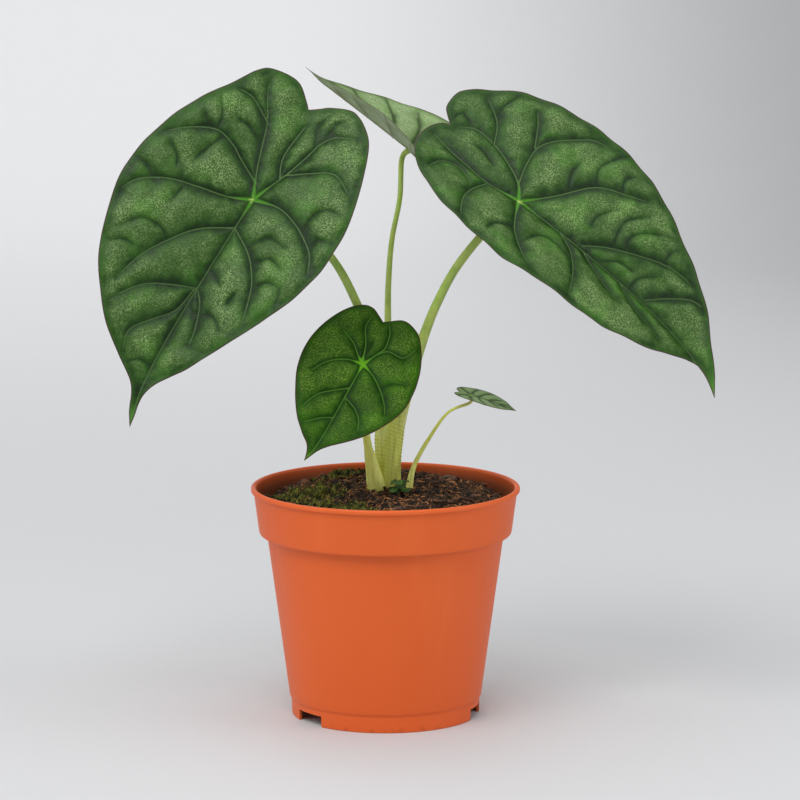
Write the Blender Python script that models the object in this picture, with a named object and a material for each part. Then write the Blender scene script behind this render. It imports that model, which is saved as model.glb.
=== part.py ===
"""Potted alocasia: a young peltate plant in a 12 cm nursery pot.

Every separate piece is one object: the pot, the potting mix, the stem, five leaf stalks with
their blades, and the small things that lie on the soil. Sizes are in millimetres around the
pot's axis, with the pot standing on z = 0; the last step centres the whole plant over the origin.
"""

from math import cos, pi, radians, sin, sqrt

import bmesh
import bpy
from mathutils import Matrix, Vector

MM = 0.001
GAP = 0.35                      # clearance between neighbouring pieces

# Pot
POT_HEIGHT = 103.2
RIM_RADIUS = 60.0
FOOT_RADIUS = 42.0
FOOT_WALL = 1.2
FLOOR_BOTTOM = 8.2              # the floor is raised inside the foot ring
FLOOR_TOP = 9.2
COLLAR_BOTTOM = 82.0
POT_SEGMENTS = 60
DRAIN_HOLES = 6
DRAIN_HOLE_RADIUS = 4.0
DRAIN_CIRCLE_RADIUS = 30.0
DRAIN_TURN = 17.0               # degrees from +X to the first drain hole
NOTCH_WIDTH = 17.0              # openings through the foot ring
NOTCH_HEIGHT = 5.0
NOTCH_ANGLES = (36, 166, 216, 346)

# Potting mix
SOIL_CROWN = 102.4              # height of the soil at the middle of the pot
SOIL_FALL = 8.2                 # how much lower it lies at the wall
SOIL_BUMP = 0.5
SOIL_RADIUS = 56.4
SOIL_SEGMENTS = 48
SOIL_RINGS = 6

# Leaves and stalks
BLADE_THICKNESS = 0.8
TUBE_SIDES = 10


# ---------------------------------------------------------------- helpers

def clear_scene():
    for old in list(bpy.data.objects):
        bpy.data.objects.remove(old, do_unlink=True)


def material(name, colour, roughness):
    mat = bpy.data.materials.new(name)
    mat.use_nodes = True
    shader = mat.node_tree.nodes["Principled BSDF"]
    shader.inputs["Base Color"].default_value = (*colour, 1.0)
    shader.inputs["Roughness"].default_value = roughness
    shader.inputs["Metallic"].default_value = 0.0
    return mat


def add_object(name, shape, mat, place=(0.0, 0.0, 0.0), turn=(0.0, 0.0, 0.0)):
    """Link a bmesh in millimetres as a named object; turn holds XYZ angles in degrees."""
    bmesh.ops.scale(shape, vec=(MM, MM, MM), verts=shape.verts)
    bmesh.ops.recalc_face_normals(shape, faces=shape.faces)
    mesh = bpy.data.meshes.new(name)
    shape.to_mesh(mesh)
    shape.free()
    mesh.shade_smooth()
    mesh.set_sharp_from_angle(angle=radians(40))
    mesh.materials.append(mat)
    piece = bpy.data.objects.new(name, mesh)
    bpy.context.collection.objects.link(piece)
    piece.location = Vector(place) * MM
    piece.rotation_euler = [radians(angle) for angle in turn]
    return piece


def add_cutter(name, shape, mat):
    cutter = add_object(name, shape, mat)
    cutter.hide_render = True
    cutter.display_type = "WIRE"
    return cutter


def combine(piece, other, operation):
    modifier = piece.modifiers.new(other.name, "BOOLEAN")
    modifier.operation = operation
    modifier.object = other


def smooth_curve(points, steps):
    """Points along a Catmull-Rom curve that passes through every given point."""
    knots = [Vector(point) for point in points]
    curve = []
    for index in range(len(knots) - 1):
        before = knots[max(index - 1, 0)]
        start = knots[index]
        end = knots[index + 1]
        after = knots[min(index + 2, len(knots) - 1)]
        for step in range(steps):
            t = step / steps
            curve.append(0.5 * (2 * start + (end - before) * t
                                + (2 * before - 5 * start + 4 * end - after) * t ** 2
                                + (3 * start - before - 3 * end + after) * t ** 3))
    curve.append(knots[-1])
    return curve


def circle(radius, height, count):
    angles = [2 * pi * index / count for index in range(count)]
    return [(radius * cos(angle), radius * sin(angle), height) for angle in angles]


def bridge_rings(shape, rings):
    """Join vertex rings that all have the same number of vertices."""
    for low, high in zip(rings, rings[1:]):
        for index in range(len(low)):
            after = (index + 1) % len(low)
            shape.faces.new((low[index], low[after], high[after], high[index]))


def close_ring(shape, ring, centre):
    """Fan a ring of vertices in to one centre point."""
    tip = shape.verts.new(centre)
    for index in range(len(ring)):
        shape.faces.new((tip, ring[index], ring[(index + 1) % len(ring)]))


def tube(points, radii, steps=4, sides=TUBE_SIDES, flatness=1.0):
    """A capped, tapering tube along a curve; radii has one value for each given point."""
    path = smooth_curve(points, steps)
    sizes = smooth_curve([(radius, 0, 0) for radius in radii], steps)
    shape = bmesh.new()
    rings = []
    across = Vector((1, 0, 0))
    for index, centre in enumerate(path):
        ahead = path[min(index + 1, len(path) - 1)] - path[max(index - 1, 0)]
        ahead.normalize()
        across = (across - ahead * across.dot(ahead)).normalized()
        beside = ahead.cross(across) * flatness
        ring = []
        for x, y, _ in circle(sizes[index].x, 0, sides):
            ring.append(shape.verts.new(centre + across * x + beside * y))
        rings.append(ring)
    bridge_rings(shape, rings)
    close_ring(shape, rings[0], path[0])
    close_ring(shape, rings[-1], path[-1])
    return shape


# ---------------------------------------------------------------- pot

# Outer wall from the foot up to the rolled lip, then down the inner wall to the floor.
POT_PROFILE = (
    (40.8, FLOOR_BOTTOM), (FOOT_RADIUS - FOOT_WALL, 0.0),
    (FOOT_RADIUS, 0.0), (42.3, 7.4), (43.0, 8.4),
    (52.8, 81.0), (53.3, COLLAR_BOTTOM),
    (55.5, COLLAR_BOTTOM), (56.3, 82.5), (56.6, 84.0),
    (58.6, 99.4), (59.2, 100.4),
    (RIM_RADIUS, 101.0), (RIM_RADIUS, 102.5), (59.3, POT_HEIGHT),
    (58.2, POT_HEIGHT), (57.6, 102.4), (57.5, 99.4),
    (55.4, 84.0), (54.8, 83.2), (52.2, 83.0), (51.8, 81.0),
    (42.0, 10.2), (41.0, FLOOR_TOP),
)


def make_pot(mat, guide):
    shape = bmesh.new()
    rings = []
    for radius, height in POT_PROFILE:
        rings.append([shape.verts.new(point) for point in circle(radius, height, POT_SEGMENTS)])
    bridge_rings(shape, rings)
    close_ring(shape, rings[0], (0, 0, FLOOR_BOTTOM))
    close_ring(shape, rings[-1], (0, 0, FLOOR_TOP))
    pot = add_object("pot", shape, mat)
    combine(pot, drain_cutter(guide), "DIFFERENCE")
    combine(pot, notch_cutter(guide), "DIFFERENCE")
    return pot


def drain_cutter(guide):
    """Upright pins where the drain holes go through the floor."""
    shape = bmesh.new()
    height = (FLOOR_BOTTOM + FLOOR_TOP) / 2
    for x, y, z in circle(DRAIN_CIRCLE_RADIUS, height, DRAIN_HOLES):
        pin = bmesh.ops.create_cone(shape, cap_ends=True, segments=12, depth=4,
                                    radius1=DRAIN_HOLE_RADIUS, radius2=DRAIN_HOLE_RADIUS)
        bmesh.ops.translate(shape, vec=(x, y, z), verts=pin["verts"])
    cutter = add_cutter("drain_cutter", shape, guide)
    cutter.rotation_euler.z = radians(DRAIN_TURN)
    return cutter


def notch_cutter(guide):
    """Blocks where water runs out through the foot ring."""
    shape = bmesh.new()
    for angle in NOTCH_ANGLES:
        block = bmesh.ops.create_cube(shape, size=1.0)
        place = (Matrix.Rotation(radians(angle), 4, "Z")
                 @ Matrix.Translation((FOOT_RADIUS - 1, 0, 0))
                 @ Matrix.Diagonal((8, NOTCH_WIDTH, 2 * NOTCH_HEIGHT, 1)))
        bmesh.ops.transform(shape, matrix=place, verts=block["verts"])
    return add_cutter("notch_cutter", shape, guide)


# ---------------------------------------------------------------- potting mix

def soil_height(x, y):
    """The mix is heaped a little around the stem and lies unevenly."""
    heap = SOIL_CROWN - SOIL_FALL * (x * x + y * y) / SOIL_RADIUS ** 2
    return heap + SOIL_BUMP * (sin(x / 8 + 1) * cos(y / 7) + sin(x / 5 + y / 6))


# The side of the mix follows the inside of the pot a little way off.
SOIL_SIDE = ((40.4, FLOOR_TOP + GAP), (41.6, 10.6), (51.4, 81.0), (51.9, 83.4), (54.3, 83.5),
             (55.0, 84.6))


def make_soil(mat, cutters):
    shape = bmesh.new()
    rings = []
    for radius, height in SOIL_SIDE:
        rings.append([shape.verts.new(point) for point in circle(radius, height, SOIL_SEGMENTS)])
    for step in range(SOIL_RINGS):
        radius = SOIL_RADIUS * (1 - step / SOIL_RINGS)
        ring = []
        for x, y, _ in circle(radius, 0, SOIL_SEGMENTS):
            ring.append(shape.verts.new((x, y, soil_height(x, y))))
        rings.append(ring)
    bridge_rings(shape, rings)
    close_ring(shape, rings[0], (0, 0, FLOOR_TOP + GAP))
    close_ring(shape, rings[-1], (0, 0, soil_height(0, 0)))
    soil = add_object("potting_mix", shape, mat)
    for cutter in cutters:
        combine(soil, cutter, "DIFFERENCE")
    return soil


# ---------------------------------------------------------------- stem and stalks

STEM_POINTS = ((1.5, 2, 78), (1.5, 2, 82), (1.8, 2, 90), (2.2, 2, 98), (2.4, 1.5, 106),
               (2.2, 1, 115), (1.8, 1, 125), (2.2, 1, 133), (3.0, 1, 140))
STEM_RADII = (5.0, 8.5, 9.5, 7.0, 6.2, 6.9, 7.6, 7.6, 7.0)

# name: (points from the bottom up to just under the blade, radius at each point)
STALKS = {
    "petiole_left": (
        ((-1.0, -1.5, 142.0), (-3.5, -3, 154), (-7, -5.5, 170), (-12.5, -8.5, 186), (-22.3, -12, 205.5),
         (-37, -14, 222), (-50, -17.5, 231)),
        (2.3, 2.2, 2.1, 1.9, 1.8, 1.7, 1.6)),
    "petiole_right": (
        ((7.4, 0.5, 142.0), (10.2, 0, 149), (13.4, -0.5, 159), (17.5, -1, 172), (22.6, -2, 185),
         (30.6, -3, 200.5), (41.3, -3, 214.6), (50, 0, 223)),
        (2.8, 2.5, 2.2, 2.0, 1.9, 1.9, 1.9, 1.8)),
    "petiole_back": (
        ((2.4, 5.2, 142.0), (1.5, 8, 158), (1.1, 12, 176), (1.4, 17, 193.5), (2.9, 22, 211),
         (6.4, 26.5, 229)),
        (2.0, 1.8, 1.5, 1.3, 1.2, 1.15)),
    "petiole_small": (
        ((-6.2, -8.8, 94), (-6.6, -8.6, 101), (-8.0, -8.6, 112), (-9.2, -10.5, 124),
         (-10.0, -13.5, 137), (-10.6, -18, 149)),
        (2.0, 1.9, 1.6, 1.4, 1.2, 1.1)),
    "petiole_seedling": (
        ((11.0, -6.5, 94), (11.2, -6, 101), (13.2, -4.5, 113), (19.8, -2, 125.5), (28, -1, 136.5)),
        (1.5, 1.4, 1.1, 0.8, 0.65)),
}
BURIED = ("petiole_small", "petiole_seedling")


def make_stem(mat):
    shape = tube(STEM_POINTS, STEM_RADII, steps=2, sides=16, flatness=0.8)
    return add_object("pseudostem", shape, mat)


def stem_cutter(guide):
    radii = [radius + 1.3 * GAP for radius in STEM_RADII]
    shape = tube(STEM_POINTS, radii, steps=2, sides=16, flatness=0.82)
    return add_cutter("stem_socket", shape, guide)


def stalk_route(name, blade):
    """The stalk's points, ending square on the underside of its blade."""
    points, radii = STALKS[name]
    up = blade_turn(blade) @ Vector((0, 0, 1))
    attach = Vector(blade["attach"])
    reach = 6 * radii[-1]
    underside = BLADE_THICKNESS + GAP
    ending = (attach - up * reach, attach - up * underside)
    return points + tuple(ending), radii + (radii[-1], radii[-1])


def make_stalk(name, blade, mat):
    points, radii = stalk_route(name, blade)
    return add_object(name, tube(points, radii, steps=2), mat)


def stalk_cutter(name, guide):
    """The lowest part of a stalk, a little thicker, for its hole in the potting mix."""
    points, radii = STALKS[name]
    grown = [radius + 1.3 * GAP for radius in radii[:3]]
    below = Vector(points[0]) - Vector((0, 0, GAP))
    shape = tube((below,) + points[1:3], grown, steps=3)
    return add_cutter(name + "_socket", shape, guide)


# ---------------------------------------------------------------- blades

# A blade lies along its own +X from the stalk to the tip, with its upper side on +Z. "left" and
# "right" are the outline from the notch between the rear lobes round to the tip, as distances
# along and beside the midrib. "fold" raises the sides into a V, "curl" rolls the margins down
# again, "arch" and "back" droop the midrib ahead of and behind the stalk, "twist" turns the blade
# about its midrib, and "hook" bends the tip sideways.
BLADES = {
    "blade_left": {
        "stalk": "petiole_left", "attach": (-57.3, -30, 235.3), "turn": (-49.4, 51.6, -146.6),
        "fold": 0.24, "curl": 0.0020, "arch": 0.0010, "back": 0.0012, "twist": 0.0, "hook": 6.5,
        "spokes": 36, "rings": 5,
        "left": ((-49, 0), (-53, 6), (-57, 15), (-55, 23), (-48, 30.5), (-37, 34.5), (-24, 40.5),
                 (-8, 44.5), (6, 45), (20, 43), (36, 38), (57, 30), (70, 22), (83, 13), (92, 7),
                 (101, 2.4), (107, 1.1), (112, 0)),
        "right": ((-49, 0), (-54, -7), (-58, -17), (-55.5, -25), (-47, -32), (-34, -40),
                  (-18, -48), (-4, -53.5), (10, -55.5), (26, -54), (43, -49), (57, -44),
                  (69, -35.5), (81, -24.5), (92, -13.5), (101, -4.5), (107, -1.4), (112, 0)),
    },
    "blade_right": {
        "stalk": "petiole_right", "attach": (58.8, -8, 232.3), "turn": (30.9, 33.9, -16.4),
        "fold": 0.36, "curl": 0.0020, "arch": 0.0012, "back": 0.0010, "twist": 0.0, "hook": -10.5,
        "spokes": 36, "rings": 5,
        "left": ((-46, 12), (-49, 14.5), (-53, 20), (-53.5, 27), (-50, 33), (-43, 39.5),
                 (-33, 46), (-20, 50), (-5, 52), (12, 53), (30, 51), (47, 46), (62, 39.5),
                 (77, 32), (88, 25.5), (98, 18), (106, 12.5), (112, 8), (117, 4), (121, 0)),
        "right": ((-46, 12), (-50, 10), (-53, 6), (-53.5, 1), (-51, -9), (-46, -19), (-38, -28),
                  (-27, -36), (-12, -41.5), (2, -44), (16, -46), (33, -43), (50, -43),
                  (62, -41), (73, -35), (86, -24), (98, -11), (105, -3), (113, -1), (121, 0)),
    },
    "blade_back": {
        "stalk": "petiole_back", "attach": (11.6, 32, 251.0), "turn": (-15.2, -38.8, -177.2),
        "fold": 0.40, "curl": 0.0010, "arch": 0.0004, "back": 0.0010, "twist": 0.015, "hook": 0.0,
        "spokes": 32, "rings": 5,
        "left": ((-27, 0), (-30, 4), (-32, 9), (-31, 15), (-25, 21), (-15, 25.5), (-3, 28),
                 (8, 28), (20, 24.5), (30, 19), (39, 12.5), (47.5, 6.5), (54, 2.2), (60, 0)),
        "right": ((-27, 0), (-30, -4), (-32, -9), (-31, -15), (-25, -21), (-15, -26),
                  (-3, -29), (8, -29), (20, -25), (30, -19), (39, -12.5), (47.5, -6.5),
                  (54, -2.2), (60, 0)),
    },
    "blade_small": {
        "stalk": "petiole_small", "attach": (-9.6, -32, 163.1), "turn": (-35, 43.2, -126),
        "fold": 0.16, "curl": 0.0036, "arch": 0.0020, "back": 0.0020, "twist": 0.0, "hook": 0.0,
        "spokes": 28, "rings": 4,
        "left": ((-24, -1.5), (-26, 1), (-29, 5.5), (-28.5, 10), (-25, 15.5), (-18, 20), (-8, 24),
                 (3, 26), (13, 25.5), (22, 22), (30, 17), (37, 10.5), (43, 4), (46.5, 0.8),
                 (50, 0)),
        "right": ((-24, -1.5), (-26, -4.5), (-28, -8.5), (-27, -13), (-22, -18), (-13, -22.5),
                  (-3, -25.5), (8, -26), (18, -24), (28, -19.5), (36, -14.5), (42, -9),
                  (46, -4), (50, 0)),
    },
    "blade_seedling": {
        "stalk": "petiole_seedling", "attach": (38.4, 0, 144.2), "turn": (7, 15, -8),
        "fold": 0.12, "curl": 0.004, "arch": 0.003, "back": 0.002, "twist": 0.0, "hook": 0.0,
        "spokes": 20, "rings": 3,
        "left": ((-5.5, 0), (-7.5, 3), (-6, 7), (-1, 9.2), (6, 8.6), (13, 5.2), (18, 1.8), (21, 0)),
        "right": ((-5.5, 0), (-7.5, -3), (-6, -7), (-1, -9.2), (6, -8.6), (13, -5.2), (18, -1.8),
                  (21, 0)),
    },
}
FOLD_ROUNDING = 3.0             # half-width of the rounded keel along the midrib
TWIST_REACH = 30.0              # distance over which the twist builds up
HOOK_POWER = 7


def blade_turn(blade):
    x, y, z = [radians(angle) for angle in blade["turn"]]
    return (Matrix.Rotation(z, 3, "Z") @ Matrix.Rotation(y, 3, "Y") @ Matrix.Rotation(x, 3, "X"))


def blade_point(blade, along, beside):
    """The upper surface of a blade over a point of its flat outline."""
    rise = blade["fold"] * (sqrt(beside ** 2 + FOLD_ROUNDING ** 2) - FOLD_ROUNDING)
    rise -= blade["curl"] * beside ** 2
    rise -= (blade["arch"] if along > 0 else blade["back"]) * along ** 2
    rise += blade["twist"] * beside * along / (1 + abs(along) / TWIST_REACH)
    reach = max(along, 0.0) / blade["left"][-1][0]
    return Vector((along, beside + blade["hook"] * reach ** HOOK_POWER, rise))


def even_points(curve, count):
    """Resample a curve to count + 1 points, evenly spaced along its length."""
    lengths = [0.0]
    for start, end in zip(curve, curve[1:]):
        lengths.append(lengths[-1] + (end - start).length)
    points = []
    segment = 0
    for index in range(count + 1):
        target = lengths[-1] * index / count
        while segment < len(curve) - 2 and lengths[segment + 1] < target:
            segment += 1
        span = lengths[segment + 1] - lengths[segment]
        points.append(curve[segment].lerp(curve[segment + 1], (target - lengths[segment]) / span))
    return points


def blade_outline(blade):
    """The closed outline, from the notch along the left side to the tip and back on the right."""
    sides = []
    for side in ("left", "right"):
        curve = smooth_curve([(along, beside, 0) for along, beside in blade[side]], 6)
        sides.append(even_points(curve, blade["spokes"] // 2))
    left, right = sides
    return left[:-1] + right[:0:-1]


def make_blade(name, blade, mat):
    outline = blade_outline(blade)
    shape = bmesh.new()
    rings = []
    for ring_index in range(blade["rings"], 0, -1):
        share = ring_index / blade["rings"]
        ring = []
        for point in outline:
            ring.append(shape.verts.new(blade_point(blade, point.x * share, point.y * share)))
        rings.append(ring)
    bridge_rings(shape, rings)
    close_ring(shape, rings[-1], blade_point(blade, 0, 0))
    piece = add_object(name, shape, mat, blade["attach"], blade["turn"])
    if piece.data.polygons[-1].normal.z < 0:
        piece.data.flip_normals()
    thicken = piece.modifiers.new("thickness", "SOLIDIFY")
    thicken.thickness = BLADE_THICKNESS * MM
    thicken.offset = -1.0
    return piece


# ---------------------------------------------------------------- things on the soil

# name: (middle x, middle y, half length, half width, turn in degrees, thickness)
MOSS = {
    "moss_left": (-34, -6, 15, 17, 20, 2.4),
    "moss_front": (-20, -36, 15, 9, -18, 2.0),
    "moss_back": (-16, 30, 16, 9, 15, 2.0),
}

# name: (x, y, length, width, height, turn in degrees)
CHIPS = {
    "bark_chip_1": (25, -38, 9, 5, 3.0, 25),
    "bark_chip_2": (38, -6, 8, 5, 2.6, -40),
    "bark_chip_3": (28, 22, 10, 6, 3.2, 70),
    "bark_chip_4": (6, -38, 7, 4.5, 2.6, 10),
    "bark_chip_5": (10, 36, 8, 5, 2.8, -20),
}

TWIG_POINTS = ((19, -26, 1.9), (26, -27, 3.0), (33, -25, 3.6), (39, -20, 3.4))
TWIG_RADIUS = 0.7


def make_moss(name, mat):
    """A cushion that follows the soil underneath and is thickest in its middle."""
    x0, y0, half_length, half_width, turn, thickness = MOSS[name]
    angle = radians(turn)
    shape = bmesh.new()
    rings = []
    levels = ((0.35, 0), (0.75, 0), (1, 0), (1, 0.45), (0.8, 0.85), (0.4, 1))
    for share, rise in levels:
        ring = []
        for a, b, _ in circle(1, 0, 20):
            wave = 1 + 0.12 * sin(3 * a + 5 * b)
            along = a * half_length * share * wave
            beside = b * half_width * share * wave
            x = x0 + along * cos(angle) - beside * sin(angle)
            y = y0 + along * sin(angle) + beside * cos(angle)
            lift = GAP + 0.3 + thickness * rise
            ring.append(shape.verts.new((x, y, soil_height(x, y) + lift)))
        rings.append(ring)
    bridge_rings(shape, rings)
    base = soil_height(x0, y0) + GAP + 0.3
    close_ring(shape, rings[0], (x0, y0, base))
    close_ring(shape, rings[-1], (x0, y0, base + thickness))
    return add_object(name, shape, mat)


def make_chip(name, mat):
    """An uneven flake of bark lying on the mix."""
    x, y, length, width, height, turn = CHIPS[name]
    shape = bmesh.new()
    bmesh.ops.create_icosphere(shape, subdivisions=1, radius=0.5)
    for vertex in shape.verts:
        uneven = 1 + 0.15 * sin(9 * vertex.co.x + 7 * vertex.co.y + x)
        vertex.co = Vector((vertex.co.x * length, vertex.co.y * width,
                            vertex.co.z * height)) * uneven
    lift = soil_height(x, y) + 0.6 * height + 2 * GAP
    return add_object(name, shape, mat, (x, y, lift), (0, 0, turn))


def make_twig(mat):
    points = [(x, y, soil_height(x, y) + lift) for x, y, lift in TWIG_POINTS]
    shape = tube(points, [TWIG_RADIUS] * len(points), steps=3, sides=6)
    return add_object("twig", shape, mat)


def make_seed(mat):
    """A round seed husk at the back of the pot."""
    shape = bmesh.new()
    bmesh.ops.create_icosphere(shape, subdivisions=2, radius=2.3)
    x, y = -37, 24
    return add_object("seed_husk", shape, mat, (x, y, soil_height(x, y) + 3.2))


# ---------------------------------------------------------------- weed

WEED_FOOT = (5.5, -14)
WEED_HEIGHT = 9.0
# (direction in degrees, distance from the stalk, height, length, width)
WEED_LEAVES = ((-150, 4.2, 8.2, 8.4, 5.0), (-30, 4.0, 7.4, 8.0, 4.8), (-85, 3.6, 5.2, 7.2, 4.6),
               (60, 3.2, 8.8, 6.4, 4.0))


def make_weed(mat, guide):
    """A small clover-like seedling: one stalk joined with its leaves."""
    x, y = WEED_FOOT
    foot = soil_height(x, y) - 3
    points = ((0, 0, 0), (0.4, -0.3, 6), (0, 0, 3 + WEED_HEIGHT))
    weed = add_object("weed_sprout", tube(points, (0.8, 0.7, 0.6), steps=2, sides=8), mat,
                      (x, y, foot))
    for index, (direction, distance, height, length, width) in enumerate(WEED_LEAVES):
        shape = bmesh.new()
        bmesh.ops.create_icosphere(shape, subdivisions=2, radius=0.5)
        angle = radians(direction)
        place = (Matrix.Translation((x + distance * cos(angle), y + distance * sin(angle),
                                     foot + 3 + height))
                 @ Matrix.Rotation(angle, 4, "Z") @ Matrix.Rotation(radians(-18), 4, "Y")
                 @ Matrix.Diagonal((length, width, 1.4, 1)))
        bmesh.ops.transform(shape, matrix=place, verts=shape.verts)
        combine(weed, add_cutter("weed_leaf_%d" % index, shape, guide), "UNION")
    return weed


def weed_cutter(guide):
    x, y = WEED_FOOT
    foot = soil_height(x, y) - 3 - GAP
    shape = tube(((x, y, foot), (x, y, foot + 8)), (1.3, 1.3), steps=1, sides=8)
    return add_cutter("weed_socket", shape, guide)


# ---------------------------------------------------------------- the whole plant

def centre_over_origin(pieces):
    """Hang every piece on one empty that puts the middle of the plant's box over the origin."""
    bpy.context.view_layer.update()
    depsgraph = bpy.context.evaluated_depsgraph_get()
    corners = []
    for piece in pieces:
        evaluated = piece.evaluated_get(depsgraph)
        for vertex in evaluated.data.vertices:
            corners.append(evaluated.matrix_world @ vertex.co)
    plant = bpy.data.objects.new("plant", None)
    bpy.context.collection.objects.link(plant)
    low = [min(corner[axis] for corner in corners) for axis in range(3)]
    high = [max(corner[axis] for corner in corners) for axis in range(3)]
    plant.location = (-(low[0] + high[0]) / 2, -(low[1] + high[1]) / 2, -low[2])
    for piece in bpy.data.objects:
        if piece is not plant:
            piece.parent = plant
    print("pot axis", [round(value, 6) for value in plant.location])
    print("size", [round(top - bottom, 6) for top, bottom in zip(high, low)])


def main():
    clear_scene()
    terracotta = material("orange_plastic", (0.60, 0.11, 0.035), 0.45)
    earth = material("potting_mix", (0.05, 0.025, 0.014), 0.95)
    pale_green = material("stem_green", (0.33, 0.42, 0.13), 0.45)
    stalk_green = material("stalk_green", (0.22, 0.38, 0.10), 0.45)
    leaf_green = material("leaf_green", (0.03, 0.12, 0.035), 0.40)
    young_green = material("young_leaf_green", (0.04, 0.18, 0.03), 0.38)
    moss_green = material("moss", (0.08, 0.13, 0.02), 0.95)
    bark = material("bark", (0.11, 0.05, 0.03), 0.9)
    weed_green = material("weed_green", (0.03, 0.10, 0.02), 0.5)
    guide = material("guide", (1.0, 1.0, 1.0), 1.0)

    pieces = [make_pot(terracotta, guide)]
    cutters = [stem_cutter(guide), weed_cutter(guide)]
    cutters += [stalk_cutter(name, guide) for name in BURIED]
    pieces.append(make_soil(earth, cutters))
    pieces.append(make_stem(pale_green))
    for name, blade in BLADES.items():
        young = name in ("blade_small", "blade_seedling")
        pieces.append(make_stalk(blade["stalk"], blade, stalk_green))
        pieces.append(make_blade(name, blade, young_green if young else leaf_green))
    pieces += [make_moss(name, moss_green) for name in MOSS]
    pieces += [make_chip(name, bark) for name in CHIPS]
    pieces.append(make_twig(bark))
    pieces.append(make_seed(bark))
    pieces.append(make_weed(weed_green, guide))
    centre_over_origin(pieces)


main()
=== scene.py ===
from math import cos, exp, pi, radians, sin

import bmesh
import bpy
import numpy as np
from mathutils import Matrix, Vector, noise


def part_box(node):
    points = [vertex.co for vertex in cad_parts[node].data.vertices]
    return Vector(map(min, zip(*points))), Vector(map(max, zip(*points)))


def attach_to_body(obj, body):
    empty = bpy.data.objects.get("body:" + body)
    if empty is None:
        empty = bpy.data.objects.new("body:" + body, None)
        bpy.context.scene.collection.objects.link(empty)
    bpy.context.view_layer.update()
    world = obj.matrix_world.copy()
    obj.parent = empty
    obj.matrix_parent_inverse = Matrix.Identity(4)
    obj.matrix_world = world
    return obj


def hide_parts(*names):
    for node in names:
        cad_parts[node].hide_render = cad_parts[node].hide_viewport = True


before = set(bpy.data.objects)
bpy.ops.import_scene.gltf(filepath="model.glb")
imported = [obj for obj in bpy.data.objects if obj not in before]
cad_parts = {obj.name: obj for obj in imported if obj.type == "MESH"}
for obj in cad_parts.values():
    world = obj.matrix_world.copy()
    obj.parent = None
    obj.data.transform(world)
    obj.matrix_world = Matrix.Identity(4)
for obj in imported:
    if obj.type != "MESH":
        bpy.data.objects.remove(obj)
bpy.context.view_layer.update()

# Shapes are worked out in millimetres around the pot's axis, with the pot standing on z = 0.
MM = 0.001
pot_low, pot_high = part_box("pot")
POT_AXIS = np.array(((pot_low[0] + pot_high[0]) / 2, (pot_low[1] + pot_high[1]) / 2, pot_low[2]))


# ---------------------------------------------------------------- colours and nodes

def srgb(red, green, blue):
    """A colour given as 0 to 255 display values, as the linear values that nodes take."""
    linear = []
    for value in (red, green, blue):
        share = value / 255
        linear.append(share / 12.92 if share <= 0.04045 else ((share + 0.055) / 1.055) ** 2.4)
    return (*linear, 1.0)


def add_node(tree, kind, inputs=None, **settings):
    made = tree.nodes.new(kind)
    for key, value in settings.items():
        setattr(made, key, value)
    for key, value in (inputs or {}).items():
        if isinstance(value, bpy.types.NodeSocket):
            tree.links.new(value, made.inputs[key])
        else:
            made.inputs[key].default_value = value
    return made


def new_material(name):
    """A material with its shader node; returns the material, its tree and the shader."""
    material = bpy.data.materials.new(name)
    material.use_nodes = True
    tree = material.node_tree
    return material, tree, tree.nodes["Principled BSDF"]


def place_socket(tree):
    return add_node(tree, "ShaderNodeTexCoord").outputs["Object"]


def field(tree, name):
    """A value that the mesh carries at its points."""
    return add_node(tree, "ShaderNodeAttribute", attribute_name=name).outputs["Fac"]


def noise_value(tree, place, scale, detail=2.0, stretch=None):
    if stretch:
        place = add_node(tree, "ShaderNodeMapping", {"Vector": place, "Scale": stretch})
        place = place.outputs["Vector"]
    settings = {"Vector": place, "Scale": scale, "Detail": detail}
    return add_node(tree, "ShaderNodeTexNoise", settings).outputs["Fac"]


def cells_value(tree, place, scale, feature="F1"):
    cells = add_node(tree, "ShaderNodeTexVoronoi", {"Vector": place, "Scale": scale}, feature=feature)
    return cells.outputs["Distance"]


def remap(tree, value, low, high, to_low=0.0, to_high=1.0):
    """Carry value from the range low..high to the range to_low..to_high, easing at both ends."""
    inputs = {"Value": value, "From Min": low, "From Max": high,
              "To Min": to_low, "To Max": to_high}
    return add_node(tree, "ShaderNodeMapRange", inputs,
                    interpolation_type="SMOOTHSTEP").outputs["Result"]


def combine(tree, operation, first, second=0.0):
    return add_node(tree, "ShaderNodeMath", {0: first, 1: second}, operation=operation).outputs[0]


def blend(tree, factor, first, second, mode="MIX"):
    inputs = {0: factor, 6: first, 7: second}
    return add_node(tree, "ShaderNodeMix", inputs, data_type="RGBA", blend_type=mode).outputs[2]


def bump(tree, height, depth, before=None):
    """Small relief in the surface; depth is in millimetres."""
    inputs = {"Height": height, "Distance": depth * MM, "Strength": 1.0}
    if before:
        inputs["Normal"] = before
    return add_node(tree, "ShaderNodeBump", inputs).outputs["Normal"]


# ---------------------------------------------------------------- curves and meshes

def smooth_curve(points, steps):
    """Points along a Catmull-Rom curve through every given point."""
    knots = np.array(points, float)
    padded = np.vstack([knots[:1], knots, knots[-1:]])
    curve = []
    for index in range(len(knots) - 1):
        before, start, end, after = padded[index:index + 4]
        for step in range(steps):
            t = step / steps
            curve.append(0.5 * (2 * start + (end - before) * t
                                + (2 * before - 5 * start + 4 * end - after) * t ** 2
                                + (3 * start - before - 3 * end + after) * t ** 3))
    curve.append(knots[-1])
    return np.array(curve)


def even_points(curve, count):
    """Resample a curve to count + 1 points evenly spaced along it."""
    steps = np.linalg.norm(np.diff(curve, axis=0), axis=1)
    lengths = np.concatenate([[0.0], np.cumsum(steps)])
    targets = np.linspace(0, lengths[-1], count + 1)
    return np.stack([np.interp(targets, lengths, column) for column in curve.T], axis=1)


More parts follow.
